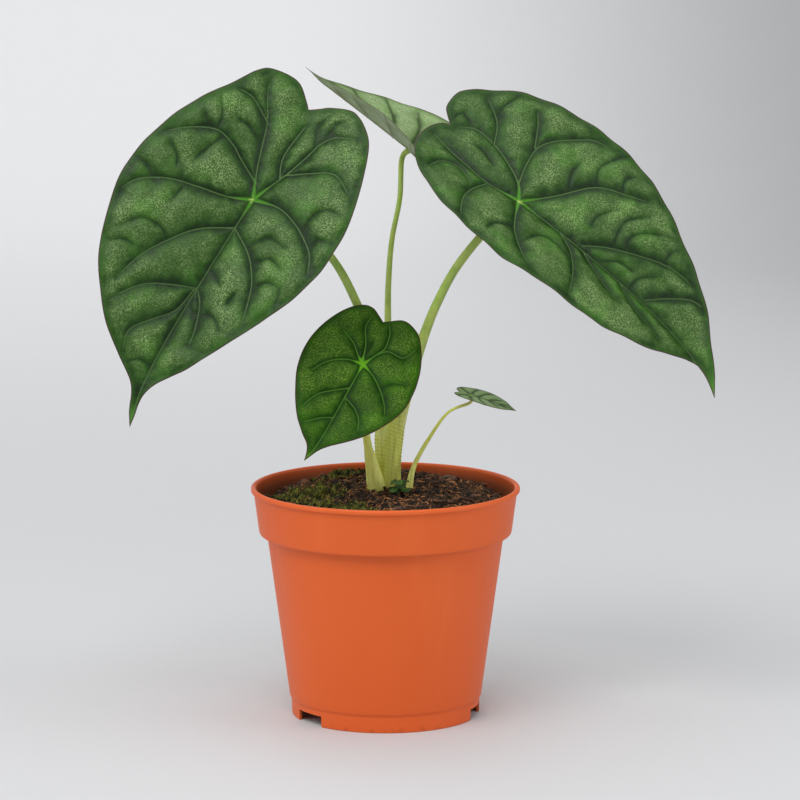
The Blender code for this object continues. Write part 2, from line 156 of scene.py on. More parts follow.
def grid_faces(rows, columns, closed=True):
    """Quads over a grid of rows x columns vertices, numbered row by row."""
    faces = []
    for row in range(rows - 1):
        for column in range(columns if closed else columns - 1):
            after = (column + 1) % columns
            low = row * columns
            high = low + columns
            faces.append((low + column, low + after, high + after, high + column))
    return faces


def fan_faces(ring, tip, flip=False):
    """Triangles from a closed ring of vertex numbers to one tip vertex."""
    faces = []
    for index, vertex in enumerate(ring):
        after = ring[(index + 1) % len(ring)]
        faces.append((after, vertex, tip) if flip else (vertex, after, tip))
    return faces


def shifted(faces, start):
    """The same faces over vertices that are numbered from start."""
    return [tuple(vertex + start for vertex in face) for face in faces]


def tube_faces(rows, sides, start=0):
    """Side faces, and a cap of one many-sided face at each end."""
    top = (rows - 1) * sides
    caps = [tuple(range(sides - 1, -1, -1)), tuple(range(top, top + sides))]
    return shifted(grid_faces(rows, sides) + caps, start)


def set_fields(mesh, fields):
    """Store values at the mesh's points, for field() to read."""
    for key, values in fields.items():
        layer = mesh.attributes.new(key, "FLOAT", "POINT")
        layer.data.foreach_set("value", np.asarray(values, np.float32))


def make_piece(name, points, faces, materials, fields=None, smooth=True):
    """A mesh piece from points in millimetres around the pot's axis."""
    mesh = bpy.data.meshes.new(name)
    placed = np.asarray(points) * MM + POT_AXIS
    mesh.from_pydata(placed.tolist(), [], faces)
    set_fields(mesh, fields or {})
    if smooth:
        mesh.shade_smooth()
    else:
        mesh.shade_flat()
    for material in materials:
        mesh.materials.append(material)
    piece = bpy.data.objects.new(name, mesh)
    bpy.context.scene.collection.objects.link(piece)
    return piece


def stand_for(piece, slot, *nodes):
    """The piece rides on the plant's one body and replaces these CAD nodes."""
    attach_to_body(piece, "root")
    if nodes:
        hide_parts(*nodes)


# ---------------------------------------------------------------- materials

def finish(tree, shader, colour, roughness, normal, **others):
    inputs = {"Base Color": colour, "Roughness": roughness, "Normal": normal}
    inputs.update({key.replace("_", " "): value for key, value in others.items()})
    for key, value in inputs.items():
        if isinstance(value, bpy.types.NodeSocket):
            tree.links.new(value, shader.inputs[key])
        else:
            shader.inputs[key].default_value = value


def leaf_top(name, colours, silver, gloss, shine=0.2):
    """Quilted upper side: dark along the veins and in the valleys, partly the leaf's own colour and
    partly painted shade; grainy and silvery on the pillows between, with painted highlight on their
    tops.

    The colours are the valleys with their painted shade, the pillows, their silvery grain with its
    painted highlight, fresh green patches, the veins, the veins' bright core at the stalk, and the
    margin.
    """
    dark, middle, light, fresh_colour, vein_colour, core, rim_colour = (
        srgb(*colour) for colour in colours)
    material, tree, shader = new_material(name)
    place = place_socket(tree)
    dome = field(tree, "dome")
    patches = noise_value(tree, place, 45, 3)
    cloud = noise_value(tree, place, 170, 3)
    grain = noise_value(tree, place, 1800, 1)
    # Darker in the valleys and lighter on the pillows, by the pillows' height: partly the leaf's dark
    # vein bands, partly painted shade.
    lift = combine(tree, "ADD", dome, remap(tree, cloud, 0.3, 0.7, -0.14, 0.14))
    base = blend(tree, remap(tree, lift, 0.08, 0.62), dark, middle)
    fresh = remap(tree, noise_value(tree, place, 70, 2), 0.48, 0.66, 0.0, 0.6)
    base = blend(tree, combine(tree, "MULTIPLY", fresh, dome), base, fresh_colour)
    # Silvery grain, strongest on the pillow tops: partly the leaf's own silver, partly painted
    # highlight.
    silver_and_highlight_grain = combine(tree, "MULTIPLY", remap(tree, lift, 0.34, 1.02),
                      remap(tree, grain, 0.42, 0.64, 0.12, 1.0))
    silvered = remap(tree, patches, 0.36, 0.60, silver * 0.5, silver)
    silver_and_highlight_grain = combine(tree, "MULTIPLY", silver_and_highlight_grain, silvered)
    base = blend(tree, silver_and_highlight_grain, base, light)
    inner = remap(tree, field(tree, "rim"), 0.7, 2.6, 0.28, 0.0)
    base = blend(tree, inner, base, fresh_colour)
    # Darker along the creases where the pillows are low: partly the leaf's dark vein colour, partly
    # painted shade.
    fold = combine(tree, "ABSOLUTE", field(tree, "crease"))
    fold = combine(tree, "MULTIPLY", remap(tree, fold, 0.12, 0.75, 0.55, 0.0),
                   remap(tree, dome, 0.30, 0.55, 1.0, 0.0))
    base = blend(tree, fold, base, dark)
    reach = field(tree, "hub")
    vein_width = remap(tree, reach, 1.0, 12.0, 0.95, 0.32)
    line = combine(tree, "DIVIDE", combine(tree, "ABSOLUTE", field(tree, "line")), vein_width)
    line = remap(tree, line, 0.35, 1.3, 1.0, 0.0)
    line = combine(tree, "MULTIPLY", line, remap(tree, field(tree, "near"), 1.3, 2.0, 1.0, 0.0))
    vein = blend(tree, remap(tree, reach, 2.0, 12.0), core, vein_colour)
    strength = remap(tree, reach, 3.0, 60.0, 0.9, 0.6)
    base = blend(tree, combine(tree, "MULTIPLY", line, strength), base, vein)
    base = blend(tree, remap(tree, field(tree, "tip"), 0.45, 0.95, 0.0, 0.75), base, core)
    base = blend(tree, remap(tree, field(tree, "rim"), 0.25, 0.85, 0.9, 0.0), base, rim_colour)
    rough = remap(tree, cloud, 0.3, 0.7, gloss - 0.07, gloss + 0.09)
    cells = cells_value(tree, place, 210, "DISTANCE_TO_EDGE")
    relief = bump(tree, cells, 0.25)
    relief = bump(tree, grain, 0.20, relief)
    relief = bump(tree, cloud, 0.7, relief)
    finish(tree, shader, base, rough, relief, Specular_IOR_Level=shine)
    return material


def leaf_under(name, blade_colour, vein_colour):
    """Pale matt underside with raised veins."""
    material, tree, shader = new_material(name)
    place = place_socket(tree)
    cloud = noise_value(tree, place, 120, 3)
    grain = noise_value(tree, place, 1400, 2)
    base = blend(tree, remap(tree, cloud, 0.3, 0.7, 0.0, 0.35), blade_colour, vein_colour)
    base = blend(tree, remap(tree, field(tree, "near"), 0.4, 1.5, 0.85, 0.0), base, vein_colour)
    base = blend(tree, remap(tree, grain, 0.3, 0.7, 0.0, 0.14), base, srgb(200, 214, 175))
    relief = bump(tree, grain, 0.12)
    relief = bump(tree, cells_value(tree, place, 260, "DISTANCE_TO_EDGE"), 0.5, relief)
    finish(tree, shader, base, remap(tree, cloud, 0.3, 0.7, 0.5, 0.66), relief)
    return material


def stalk_material(name, low_colour, high_colour, streak_colour):
    """Fleshy stalk with fine streaks along it and small flecks."""
    material, tree, shader = new_material(name)
    place = place_socket(tree)
    streaks = noise_value(tree, place, 700, 3, (1.0, 1.0, 0.08))
    cloud = noise_value(tree, place, 90, 3)
    flecks = noise_value(tree, place, 1300, 2, (1.0, 1.0, 0.4))
    base = blend(tree, remap(tree, field(tree, "share"), 0.12, 0.62), low_colour, high_colour)
    base = blend(tree, remap(tree, streaks, 0.42, 0.70, 0.0, 0.55), base, streak_colour)
    base = blend(tree, remap(tree, cloud, 0.35, 0.7, 0.0, 0.30), base, low_colour)
    base = blend(tree, remap(tree, flecks, 0.62, 0.78, 0.0, 0.22), base, srgb(214, 220, 170))
    rings = noise_value(tree, place, 320, 2, (0.5, 0.5, 3.0))
    relief = bump(tree, rings, 0.25)
    relief = bump(tree, streaks, 0.45, relief)
    relief = bump(tree, flecks, 0.12, relief)
    finish(tree, shader, base, remap(tree, cloud, 0.3, 0.7, 0.34, 0.5), relief,
           Subsurface_Weight=0.12, Subsurface_Scale=0.004)
    return material


def grainy_material(name, dark, light, scale, roughness, depth, spots=None):
    """Earthy surface: two mixed colours, finer grain, and optional pale spots."""
    material, tree, shader = new_material(name)
    place = place_socket(tree)
    cloud = noise_value(tree, place, scale, 4)
    grain = noise_value(tree, place, scale * 6, 3)
    base = blend(tree, remap(tree, cloud, 0.36, 0.66), dark, light)
    base = blend(tree, remap(tree, grain, 0.45, 0.75, 0.0, 0.6), base, dark)
    if spots:
        base = blend(tree, remap(tree, grain, 0.60, 0.70, 0.0, 0.8), base, spots)
    rough = remap(tree, grain, 0.3, 0.7, roughness - 0.08, min(roughness + 0.06, 1.0))
    relief = bump(tree, grain, depth)
    finish(tree, shader, base, rough, bump(tree, cloud, depth * 2, relief))
    return material


def pot_material():
    """Moulded orange plastic: random tone, vertical streaks of painted highlight, painted shade down
    the inner wall, soil dust near the mix, and darker patches at the foot.
    """
    material, tree, shader = new_material("orange_plastic")
    place = place_socket(tree)
    cloud = noise_value(tree, place, 14, 3)
    grain = noise_value(tree, place, 2600, 2)
    drag_streaks_and_highlights = noise_value(tree, place, 60, 4, (1.0, 1.0, 0.12))
    base = blend(tree, remap(tree, cloud, 0.3, 0.7), POT_ORANGE, srgb(214, 91, 35))
    # Lighter vertical streaks: painted highlight; the same streaks also vary the roughness and bumps
    # below.
    base = blend(tree, remap(tree, drag_streaks_and_highlights, 0.52, 0.78, 0.0, 0.22), base, srgb(228, 112, 56))
    base = blend(tree, remap(tree, grain, 0.58, 0.8, 0.0, 0.25), base, srgb(200, 82, 34))
    # Painted shade: the inner wall darkens from the lip down towards the mix.
    base = blend(tree, field(tree, "inside"), base, srgb(120, 62, 34))
    # Dark patches: soil dust on the inner wall near the mix, and darker patches over the bottom 3 mm of
    # the foot.
    dark_patches = remap(tree, noise_value(tree, place, 240, 4), 0.5, 0.68)
    dark_patches = combine(tree, "MULTIPLY", dark_patches, field(tree, "dark_patch_share"))
    base = blend(tree, dark_patches, base, srgb(66, 44, 28))
    rough = remap(tree, drag_streaks_and_highlights, 0.3, 0.7, 0.40, 0.52)
    relief = bump(tree, grain, 0.05)
    finish(tree, shader, base, rough, bump(tree, drag_streaks_and_highlights, 0.10, relief), Specular_IOR_Level=0.28)
    return material


POT_ORANGE = srgb(217, 95, 38)
big_leaf = leaf_top("leaf_green", (
    (16, 39, 8), (36, 70, 15), (158, 186, 118), (56, 108, 22), (74, 106, 52), (74, 136, 32),
    (66, 52, 44)), 0.5, 0.42)
young_leaf = leaf_top("young_leaf_green", (
    (17, 43, 2), (30, 66, 2), (140, 178, 70), (46, 96, 2), (70, 116, 34), (96, 160, 24),
    (62, 50, 30)), 0.38, 0.42, 0.08)
# A paler copy of the leaf colours: for the back leaf it paints the sheen seen at its grazing angle; the
# seedling wears the same pale colours.
pale_sheen_leaf = leaf_top("pale_sheen_leaf_green", (
    (48, 66, 32), (108, 134, 82), (170, 188, 144), (120, 156, 84), (60, 74, 44), (112, 160, 60),
    (90, 88, 62)), 0.7, 0.46)
under_leaf = leaf_under("leaf_underside", srgb(128, 150, 100), srgb(104, 112, 72))
green_stalk = stalk_material("stalk_green", srgb(222, 226, 128), srgb(134, 168, 62), srgb(126, 148, 64))
pale_stem = stalk_material("stem_green", srgb(236, 236, 130), srgb(204, 212, 92), srgb(178, 174, 72))
soil_dark = grainy_material("potting_mix", srgb(12, 8, 4), srgb(88, 60, 34), 320, 0.92, 0.8)
fibre_red = grainy_material("coir_fibre", srgb(60, 30, 14), srgb(196, 132, 78), 300, 0.85, 0.2)
moss_green = grainy_material("moss", srgb(26, 30, 5), srgb(136, 138, 46), 420, 0.9, 0.3)
bark_brown = grainy_material("bark", srgb(50, 28, 16), srgb(122, 82, 52), 300, 0.88, 0.5,
                             srgb(160, 126, 92))
weed_green = grainy_material("weed_green", srgb(24, 54, 12), srgb(84, 130, 44), 500, 0.6, 0.2)
orange = pot_material()


# ---------------------------------------------------------------- pot

POT_SIDES = 192
# Radius, height and corner rounding, from the middle of the underside round to the floor inside.
POT_PROFILE = (
    (40.8, 8.2, 0.6), (40.8, 0.0, 0.4), (42.0, 0.0, 0.5), (42.3, 7.4, 1.0), (43.0, 8.4, 1.5),
    (52.8, 81.0, 1.0), (53.3, 82.0, 0.5), (55.5, 82.0, 0.6), (56.3, 82.5, 0.6), (56.6, 84.0, 1.5),
    (58.6, 99.4, 1.0), (59.0, 100.8, 0.3), (60.0, 101.2, 0.35), (60.0, 102.7, 0.6),
    (59.3, 103.2, 0.6), (58.2, 103.2, 0.6), (57.6, 102.4, 0.8), (57.5, 99.4, 2.0),
    (55.4, 84.0, 1.0), (54.8, 83.2, 0.6), (52.2, 83.0, 0.6), (51.8, 81.0, 1.0),
    (42.0, 10.2, 0.8), (41.0, 9.2, 0.6),
)
# Middle of the wall's thickness at some heights; points nearer to the axis are inside the pot.
WALL_HEIGHTS = (9.0, 81.0, 82.5, 84.0, 99.4, 103.0)
WALL_RADII = (42.5, 52.3, 54.4, 56.0, 58.05, 58.8)
POT_FLOOR = 9.0
NOTCH_ANGLES = (36, 166, 216, 346)
NOTCH_LOW, NOTCH_HIGH = -2.0, 5.0
NOTCH_HALF_WIDTH = 8.5
NOTCH_INNER, NOTCH_OUTER = 37, 45
DRAIN_HOLES = 6
DRAIN_START = 17                # angle of the first hole
DRAIN_REACH = 30                # from the axis to a hole's middle
DRAIN_RADIUS = 4.0
DRAIN_LOW, DRAIN_DEPTH = 6.7, 4
DRAIN_SIDES = 32


def rounded_profile(profile, arc_steps=3, longest=3.0):
    """The profile with rounded corners, and long straight runs split up."""
    corners = [np.array(corner[:2]) for corner in profile]
    points = [corners[0]]
    for index in range(1, len(corners) - 1):
        before, corner, after = corners[index - 1:index + 2]
        into = before - corner
        away = after - corner
        room = min(np.linalg.norm(into), np.linalg.norm(away)) * 0.45
        reach = min(profile[index][2], room)
        start = corner + into / np.linalg.norm(into) * reach
        end = corner + away / np.linalg.norm(away) * reach
        for step in range(arc_steps + 1):
            t = step / arc_steps
            points.append((1 - t) ** 2 * start + 2 * t * (1 - t) * corner + t * t * end)
    points.append(corners[-1])
    fine = [points[0]]
    for start, end in zip(points, points[1:]):
        parts = max(1, int(np.linalg.norm(end - start) / longest))
        for part in range(1, parts + 1):
            fine.append(start + (end - start) * part / parts)
    return np.array(fine)


def ring_points(radius, height, sides):
    angles = np.arange(sides) * 2 * pi / sides
    return np.stack([radius * np.cos(angles), radius * np.sin(angles),
                     np.full(sides, height)], axis=1)


def cut_shapes(piece, cutters):
    """Take the cutters out of the piece for good, and delete them."""
    for cutter in cutters:
        modifier = piece.modifiers.new(cutter.name, "BOOLEAN")
        modifier.operation = "DIFFERENCE"
        modifier.object = cutter
    depsgraph = bpy.context.evaluated_depsgraph_get()
    result = bpy.data.meshes.new_from_object(piece.evaluated_get(depsgraph))
    piece.modifiers.clear()
    piece.data = result
    for cutter in cutters:
        bpy.data.objects.remove(cutter)


def drain_cutters():
    """A short round pin for each drain hole in the pot's floor."""
    cutters = []
    for index in range(DRAIN_HOLES):
        angle = radians(DRAIN_START + 360 * index / DRAIN_HOLES)
        middle = (DRAIN_REACH * cos(angle), DRAIN_REACH * sin(angle), DRAIN_LOW)
        ring = ring_points(DRAIN_RADIUS, 0, DRAIN_SIDES) + middle
        pin = np.vstack([ring, ring + (0, 0, DRAIN_DEPTH)])
        cutters.append(make_piece("pin_%d" % index, pin, tube_faces(2, DRAIN_SIDES), []))
    return cutters


def notch_cutters():
    """A block across the foot ring for each notch."""
    corners = ((NOTCH_INNER, -NOTCH_HALF_WIDTH), (NOTCH_OUTER, -NOTCH_HALF_WIDTH),
               (NOTCH_OUTER, NOTCH_HALF_WIDTH), (NOTCH_INNER, NOTCH_HALF_WIDTH))
    cutters = []
    for index, turn in enumerate(NOTCH_ANGLES):
        angle = radians(turn)
        out = np.array((cos(angle), sin(angle), 0))
        side = np.array((-sin(angle), cos(angle), 0))
        block = []
        for height in (NOTCH_LOW, NOTCH_HIGH):
            for depth, beside in corners:
                block.append(out * depth + side * beside + (0, 0, height))
        cutters.append(make_piece("notch_%d" % index, block, tube_faces(2, 4), []))
    return cutters


def make_pot():
    profile = rounded_profile(POT_PROFILE)
    points = np.concatenate([ring_points(radius, height, POT_SIDES) for radius, height in profile])
    rows = len(profile)
    faces = grid_faces(rows, POT_SIDES)
    first = list(range(POT_SIDES))
    last = [(rows - 1) * POT_SIDES + index for index in range(POT_SIDES)]
    points = np.vstack([points, (0, 0, profile[0][1]), (0, 0, profile[-1][1])])
    faces += fan_faces(first, len(points) - 2, flip=True)
    faces += fan_faces(last, len(points) - 1)
    pot = make_piece("pot_shell", points, faces, [orange])
    cut_shapes(pot, drain_cutters() + notch_cutters())
    pot.data.set_sharp_from_angle(angle=radians(50))
    place = np.array([vertex.co[:] for vertex in pot.data.vertices])
    place = (place - POT_AXIS) / MM
    radius = np.hypot(place[:, 0], place[:, 1])
    height = place[:, 2]
    inside = (radius < np.interp(height, WALL_HEIGHTS, WALL_RADII)) & (height > POT_FLOOR)
    soiled = inside * np.clip((98.5 - height) / 6.0, 0, 1)
    set_fields(pot.data, {
        # inside: painted shade down the inner wall, from the lip.
        "inside": inside * np.clip((102.6 - height) / 5.0, 0, 1),
        # Soil dust inside near the mix, and darker patches at the foot.
        "dark_patch_share": soiled + np.clip((3 - height) / 3, 0, 0.4),
    })
    stand_for(pot, "orange_plastic", "pot")


make_pot()


# ---------------------------------------------------------------- blades

# "left" and "right" are the outline from the notch to the tip, as distances along and beside the
# midrib, measured from the stalk; without a "right" it mirrors the left. "fold", "curl", "arch",
# "back", "twist" and "hook" bend the blade as blade_surface() says. Veins and creases are paths over
# the flat blade: veins stand in broad valleys, dark partly in the leaf's own colour and partly by
# painted shade, and creases are shallower.
BLADES = {
    "blade_left": {
        "attach": (-57.3, -30, 235.3), "turn": (-49.4, 51.6, -146.6),
        "fold": 0.24, "curl": 0.0020, "arch": 0.0010, "back": 0.0012, "twist": 0.0, "hook": 6.5,
        "spokes": 440, "rings": 108, "pillow": 1.25, "top": big_leaf, "slot": "leaf_green",
        "left": ((-48, -1), (-51, 3), (-54, 7), (-57, 15), (-56, 20), (-53, 25), (-48, 30),
                 (-40, 34), (-26, 39), (-10, 43), (4, 44), (18, 43), (35, 38), (54, 29), (70, 20),
                 (79, 15), (85, 10), (91, 5.2), (97, 2.2), (102, 1.2), (107, 1), (112.5, 0)),
        "right": ((-48, -1), (-51, -4), (-56, -10), (-57, -16), (-55, -25), (-51, -29), (-46, -32),
                  (-37, -37), (-25, -44), (-10, -50), (8, -54), (24, -54), (40, -50), (56, -44),
                  (68, -36), (79, -27), (88, -16), (93, -9), (96, -5.5), (100, -3.4), (106, -2.2),
                  (112.5, 0)),
        "veins": (
            ((0, 0), (20, 0), (50, 0), (80, 0), (111, 0)),
            ((0, 0), (-11, -5), (-22, -9), (-33, -13), (-43, -19), (-50, -22)),
            ((-33, -13), (-39, -24), (-39, -31)),
            ((-7, -3), (-12, -13), (-16, -20), (-18, -29), (-13, -39), (-5, -48)),
            ((0, 0), (5, -10), (8, -22), (11, -33), (15, -41), (20, -47), (28, -51)),
            ((15, 0), (20, -8), (26, -15), (36, -22), (47, -28), (61, -32)),
            ((46, 0), (50, -9), (55, -18), (61, -24), (69, -29)),
            ((47, -1), (59, -3), (68, -10), (77, -16), (86, -14)),
            ((0, 0), (-8, 3), (-18, 7), (-28, 10), (-36, 12), (-42, 16), (-46, 25)),
            ((-14, 5), (-24, 1), (-41, 2)),
            ((-16, 6), (-22, 15), (-27, 25), (-22, 35)),
            ((0, 0), (-2, 12), (1, 22), (5, 29), (10, 35), (18, 39)),
            ((15, 0), (22, 11), (30, 18), (38, 22), (52, 26)),
            ((46, 0), (52, 5), (63, 9), (70, 10)),
        ),
        "creases": (
            ((-24, -12), (-27, -19), (-27, -25)), ((-32, -36), (-25, -31), (-18, -29)),
            ((-22, -38), (-18, -33), (-18, -30)), ((-3, -44), (1, -38), (6, -35)),
            ((-18, -25), (-6, -29), (-1, -30)), ((11, -51), (12, -46), (15, -42)),
            ((11, -28), (20, -29)), ((41, -42), (33, -36), (32, -27), (35, -22)),
            ((49, -43), (45, -38), (45, -32)), ((88, -10), (85, -6), (85, 0)),
            ((-35, 10), (-43, 7), (-50, 9)), ((-40, 14), (-47, 13), (-51, 16)),
            ((3, 28), (-5, 27), (-11, 31), (-12, 38)), ((9, 34), (3, 35), (1, 41)),
            ((18, 11), (12, 16), (13, 25)), ((25, 16), (20, 21), (22, 28)),
            ((37, 1), (39, 6), (41, 9)), ((36, 22), (30, 25), (30, 32), (38, 34)),
            ((56, 8), (54, 13), (59, 20)), ((40, 16), (47, 15)), ((53, 1), (59, 6)),
        ),
    },
    "blade_right": {
        "attach": (58.8, -8, 232.3), "turn": (30.9, 33.9, -16.4),
        "fold": 0.36, "curl": 0.0020, "arch": 0.0012, "back": 0.0010, "twist": 0.0, "hook": -10.5,
        "spokes": 440, "rings": 108, "pillow": 1.25, "top": big_leaf, "slot": "leaf_green",
        "left": ((-46, 12), (-50, 15), (-53, 19), (-53.5, 27), (-50, 32), (-42, 38.5), (-32, 45.5),
                 (-18, 50.5), (0, 53), (19, 53), (35, 50), (52, 44), (67, 36), (82, 28), (95, 20),
                 (105, 12), (111, 7.8), (115, 5), (118.5, 2.2), (121, 0)),
        "right": ((-46, 12), (-50, 10), (-53, 5.5), (-53.5, 0), (-50, -13), (-44, -22), (-35, -30.5),
                  (-24, -37), (-10, -41.5), (6, -44.5), (18, -45), (32, -41.5), (48, -40),
                  (60, -38.5), (71, -34), (83, -26), (94, -15), (101, -5), (105.5, -0.5),
                  (110, 0.4), (116, 0), (121, 0)),
        "veins": (
            ((0, 0), (30, 0), (60, 0), (90, 0), (120, 0)),
            ((0, 0), (-16, -2), (-29, 0), (-40, 2), (-52, 5)),
            ((0, 0), (-5, 7), (-14, 12), (-25, 16), (-36, 17), (-44, 12)),
            ((-25, 16), (-29, 24), (-34, 29), (-41, 33)),
            ((-5, 7), (-8, 17), (-9, 27), (-5, 35), (2, 42), (8, 47), (18, 49)),
            ((-10, 26), (-16, 37), (-20, 42)),
            ((0, 0), (11, 13), (20, 26), (26, 31), (35, 35), (44, 39)),
            ((34, 2), (43, 9), (58, 17), (70, 22), (82, 23)),
            ((70, 2), (78, 11), (86, 18), (92, 19)),
            ((0, 0), (8, -20), (18, -32), (25, -37)),
            ((23, 0), (32, -6), (40, -19), (46, -36)),
            ((36, 0), (46, -6), (56, -11), (63, -13)),
            ((57, 0), (69, -7), (82, -10), (87, -13)),
            ((-16, -4), (-18, -15), (-17, -26), (-11, -40)),
            ((-39, -17), (-37, -8), (-29, -5), (-18, -14)),
        ),
        "creases": (
            ((-31, 28), (-33, 34), (-31, 42)), ((14, 18), (10, 26), (10, 33)),
            ((23, 28), (18, 36), (21, 46), (25, 52)), ((33, 34), (30, 40), (33, 45)),
            ((32, 11), (31, 17), (35, 24)), ((50, 13), (48, 19), (52, 26), (62, 33)),
            ((67, 21), (66, 26), (68, 31)), ((0, -35), (1, -27), (7, -20)),
            ((15, -27), (18, -13), (26, -10), (35, -12)), ((-47, 14), (-45, 20), (-39, 18)),
            ((-19, 7), (-26, 10), (-32, 10)), ((62, 0), (62, 7), (69, 15)),
            ((44, 12), (42, 24), (49, 33)), ((45, 2), (51, 7), (59, 8)),
        ),
    },
    "blade_back": {
        "attach": (11.6, 32, 251.0), "turn": (-15.2, -38.8, -177.2),
        "fold": 0.40, "curl": 0.0010, "arch": 0.0004, "back": 0.0010, "twist": 0.015, "hook": 0.0,
        "spokes": 320, "rings": 60, "pillow": 0.55, "top": pale_sheen_leaf, "slot": "leaf_green",
        "left": ((-27, 0), (-30, 4), (-32, 9), (-31, 15), (-25, 21), (-15, 25.5), (-3, 28),
                 (8, 28), (20, 24.5), (30, 19), (39, 12.5), (47.5, 6.5), (54, 2.2), (60, 0)),
        "right": ((-27, 0), (-30, -4), (-32, -9), (-31, -15), (-25, -21), (-15, -26),
                  (-3, -29), (8, -29), (20, -25), (30, -19), (39, -12.5), (47.5, -6.5),
                  (54, -2.2), (60, 0)),
    },
    "blade_small": {
        "attach": (-9.6, -32, 163.1), "turn": (-35, 43.2, -126),
        "fold": 0.16, "curl": 0.0036, "arch": 0.0020, "back": 0.0020, "twist": 0.0, "hook": -2.5,
        "spokes": 320, "rings": 60, "pillow": 0.5, "top": young_leaf, "slot": "young_leaf_green",
        "left": ((-24, -1.5), (-26, 1), (-29, 5.5), (-28.5, 10), (-25, 15.5), (-18, 20), (-8, 24),
                 (3, 26), (13, 25.5), (22, 22), (30, 17), (37, 10.5), (42.5, 4.5), (46.5, 1.6),
                 (52.5, 0)),
        "right": ((-24, -1.5), (-26, -4.5), (-28, -8.5), (-27, -13), (-22, -18), (-13, -22.5),
                  (-3, -25.5), (8, -26), (18, -24), (28, -19.5), (36, -14.5), (42, -8.5),
                  (46, -3.5), (52.5, 0)),
        "veins": (
            ((0, 0), (15, 0), (30, 0), (49, 0)),
            ((0, 0), (-3, -4), (-7, -8), (-10, -14)),
            ((-1, -1), (-9, -3), (-17, -7), (-24, -7)),
            ((0, 0), (1, -6), (4, -11), (8, -15), (14, -18)),
            ((13, 0), (18, -6), (23, -11), (30, -14)),
            ((0, 0), (-7, 3), (-12, 5), (-19, 4), (-23, 2)),
            ((-7, 3), (-11, 7), (-11, 14), (-17, 17)),
            ((0, 0), (3, 6), (8, 12), (14, 17), (18, 19)),
            ((18, 0), (21, 6), (25, 10), (30, 12)),
            ((29, 0), (32, -5), (37, -10)),
        ),
        "creases": (((8, 12), (3, 16), (1, 22)), ((-7, -1), (-13, -1))),
    },
    "blade_seedling": {
        "attach": (38.4, 0, 144.2), "turn": (7, 15, -8),
        "fold": 0.12, "curl": 0.004, "arch": 0.003, "back": 0.002, "twist": 0.0, "hook": 0.0,
        "spokes": 160, "rings": 34, "pillow": 0.3, "top": pale_sheen_leaf, "slot": "young_leaf_green",
        "left": ((-5.5, 0), (-7.5, 3), (-6, 6.5), (0, 9), (8, 9.4), (14.5, 6.6), (18.5, 2.4),
                 (21, 0)),
    },
}
FOLD_ROUNDING = 3.0             # half-width of the rounded keel along the midrib
TWIST_REACH = 30.0              # distance over which the twist builds up
HOOK_POWER = 7
LEAF_THICKNESS = 0.6
CAD_CLEARANCE = 0.05            # the upper side lies this much lower than the plain blade
FULL_LENGTH = 112               # stalk to tip of the left blade, to which relief is scaled
NO_CREASE = 9                   # distance that stands for no crease near
MARGIN_WAVES = 0.005
OUTLINE_SHARE = 0.997           # keeps the margins inside the collision model


def turn_matrix(turn):
    x, y, z = [radians(angle) for angle in turn]
    whole = Matrix.Rotation(z, 3, "Z") @ Matrix.Rotation(y, 3, "Y") @ Matrix.Rotation(x, 3, "X")
    return np.array(whole)


def even_veins(blade):
    """Plain laterals on both sides, for the leaves whose veins hardly show."""
    length = blade["left"][-1][0]
    width = max(beside for _, beside in blade["left"])
    veins = [((0, 0), (length * 0.5, 0), (length * 0.98, 0))]
    for side in (-1, 1):
        for start, reach in ((0.0, -0.42), (0.0, 0.08), (0.15, 0.38), (0.38, 0.62), (0.6, 0.8)):
            taper = 0.9 if reach < 0.4 else 1.25 * (1 - reach)
            middle = ((start + reach) / 2 - 0.03) * length
            veins.append(((start * length, 0), (middle, side * width * taper * 0.55),
                          (reach * length, side * width * taper)))
    return veins


def beside_segment(flat, start, end):
    """Each flat point's share of the way along a segment, its distance, and its side."""
    run = end - start
    offset = flat - start
    share = np.clip(offset @ run / max(run @ run, 1e-9), 0, 1)
    gap = np.linalg.norm(offset - share[:, None] * run, axis=1)
    return share, gap, np.sign(run[0] * offset[:, 1] - run[1] * offset[:, 0])


def nearest(flat, paths, end_fade, both_ends=False):
    """Signed distance from each flat point to the nearest path, left side positive.

    Paths count as further away towards their ends, by up to end_fade, so that they fade out.
    """
    best = np.full(len(flat), 1e6)
    signed = np.zeros(len(flat))
    for path in paths:
        corners = smooth_curve(path, 5) if len(path) > 2 else np.array(path, float)
        last = len(corners) - 1
        for index, (start, end) in enumerate(zip(corners, corners[1:])):
            share, gap, side = beside_segment(flat, start, end)
            travelled = (index + share) / last
            if both_ends:
                travelled = np.abs(2 * travelled - 1)
            faded = gap + end_fade * travelled ** 3
            closer = faded < best
            best = np.where(closer, faded, best)
            signed = np.where(closer, gap * side, signed)
    return signed, best


def rim_distance(flat, outline):
    """Distance from each flat point to the blade's margin."""
    closed = np.vstack([outline, outline[:1]])
    gaps = np.full(len(flat), 1e6)
    for start, end in zip(closed, closed[1:]):
        gaps = np.minimum(gaps, beside_segment(flat, start, end)[1])
    return gaps


def blade_surface(blade, flat):
    """The smooth upper surface over flat points, before the quilting."""
    along, beside = flat[:, 0], flat[:, 1]
    rise = blade["fold"] * (np.sqrt(beside ** 2 + FOLD_ROUNDING ** 2) - FOLD_ROUNDING)
    rise -= blade["curl"] * beside ** 2
    rise -= np.where(along > 0, blade["arch"], blade["back"]) * along ** 2
    rise += blade["twist"] * beside * along / (1 + np.abs(along) / TWIST_REACH)
    reach = np.maximum(along, 0) / blade["left"][-1][0]
    return np.stack([along, beside + blade["hook"] * reach ** HOOK_POWER, rise], axis=1)


def soften(value, low, high):
    share = np.clip((value - low) / (high - low), 0, 1)
    return share * share * (3 - 2 * share)


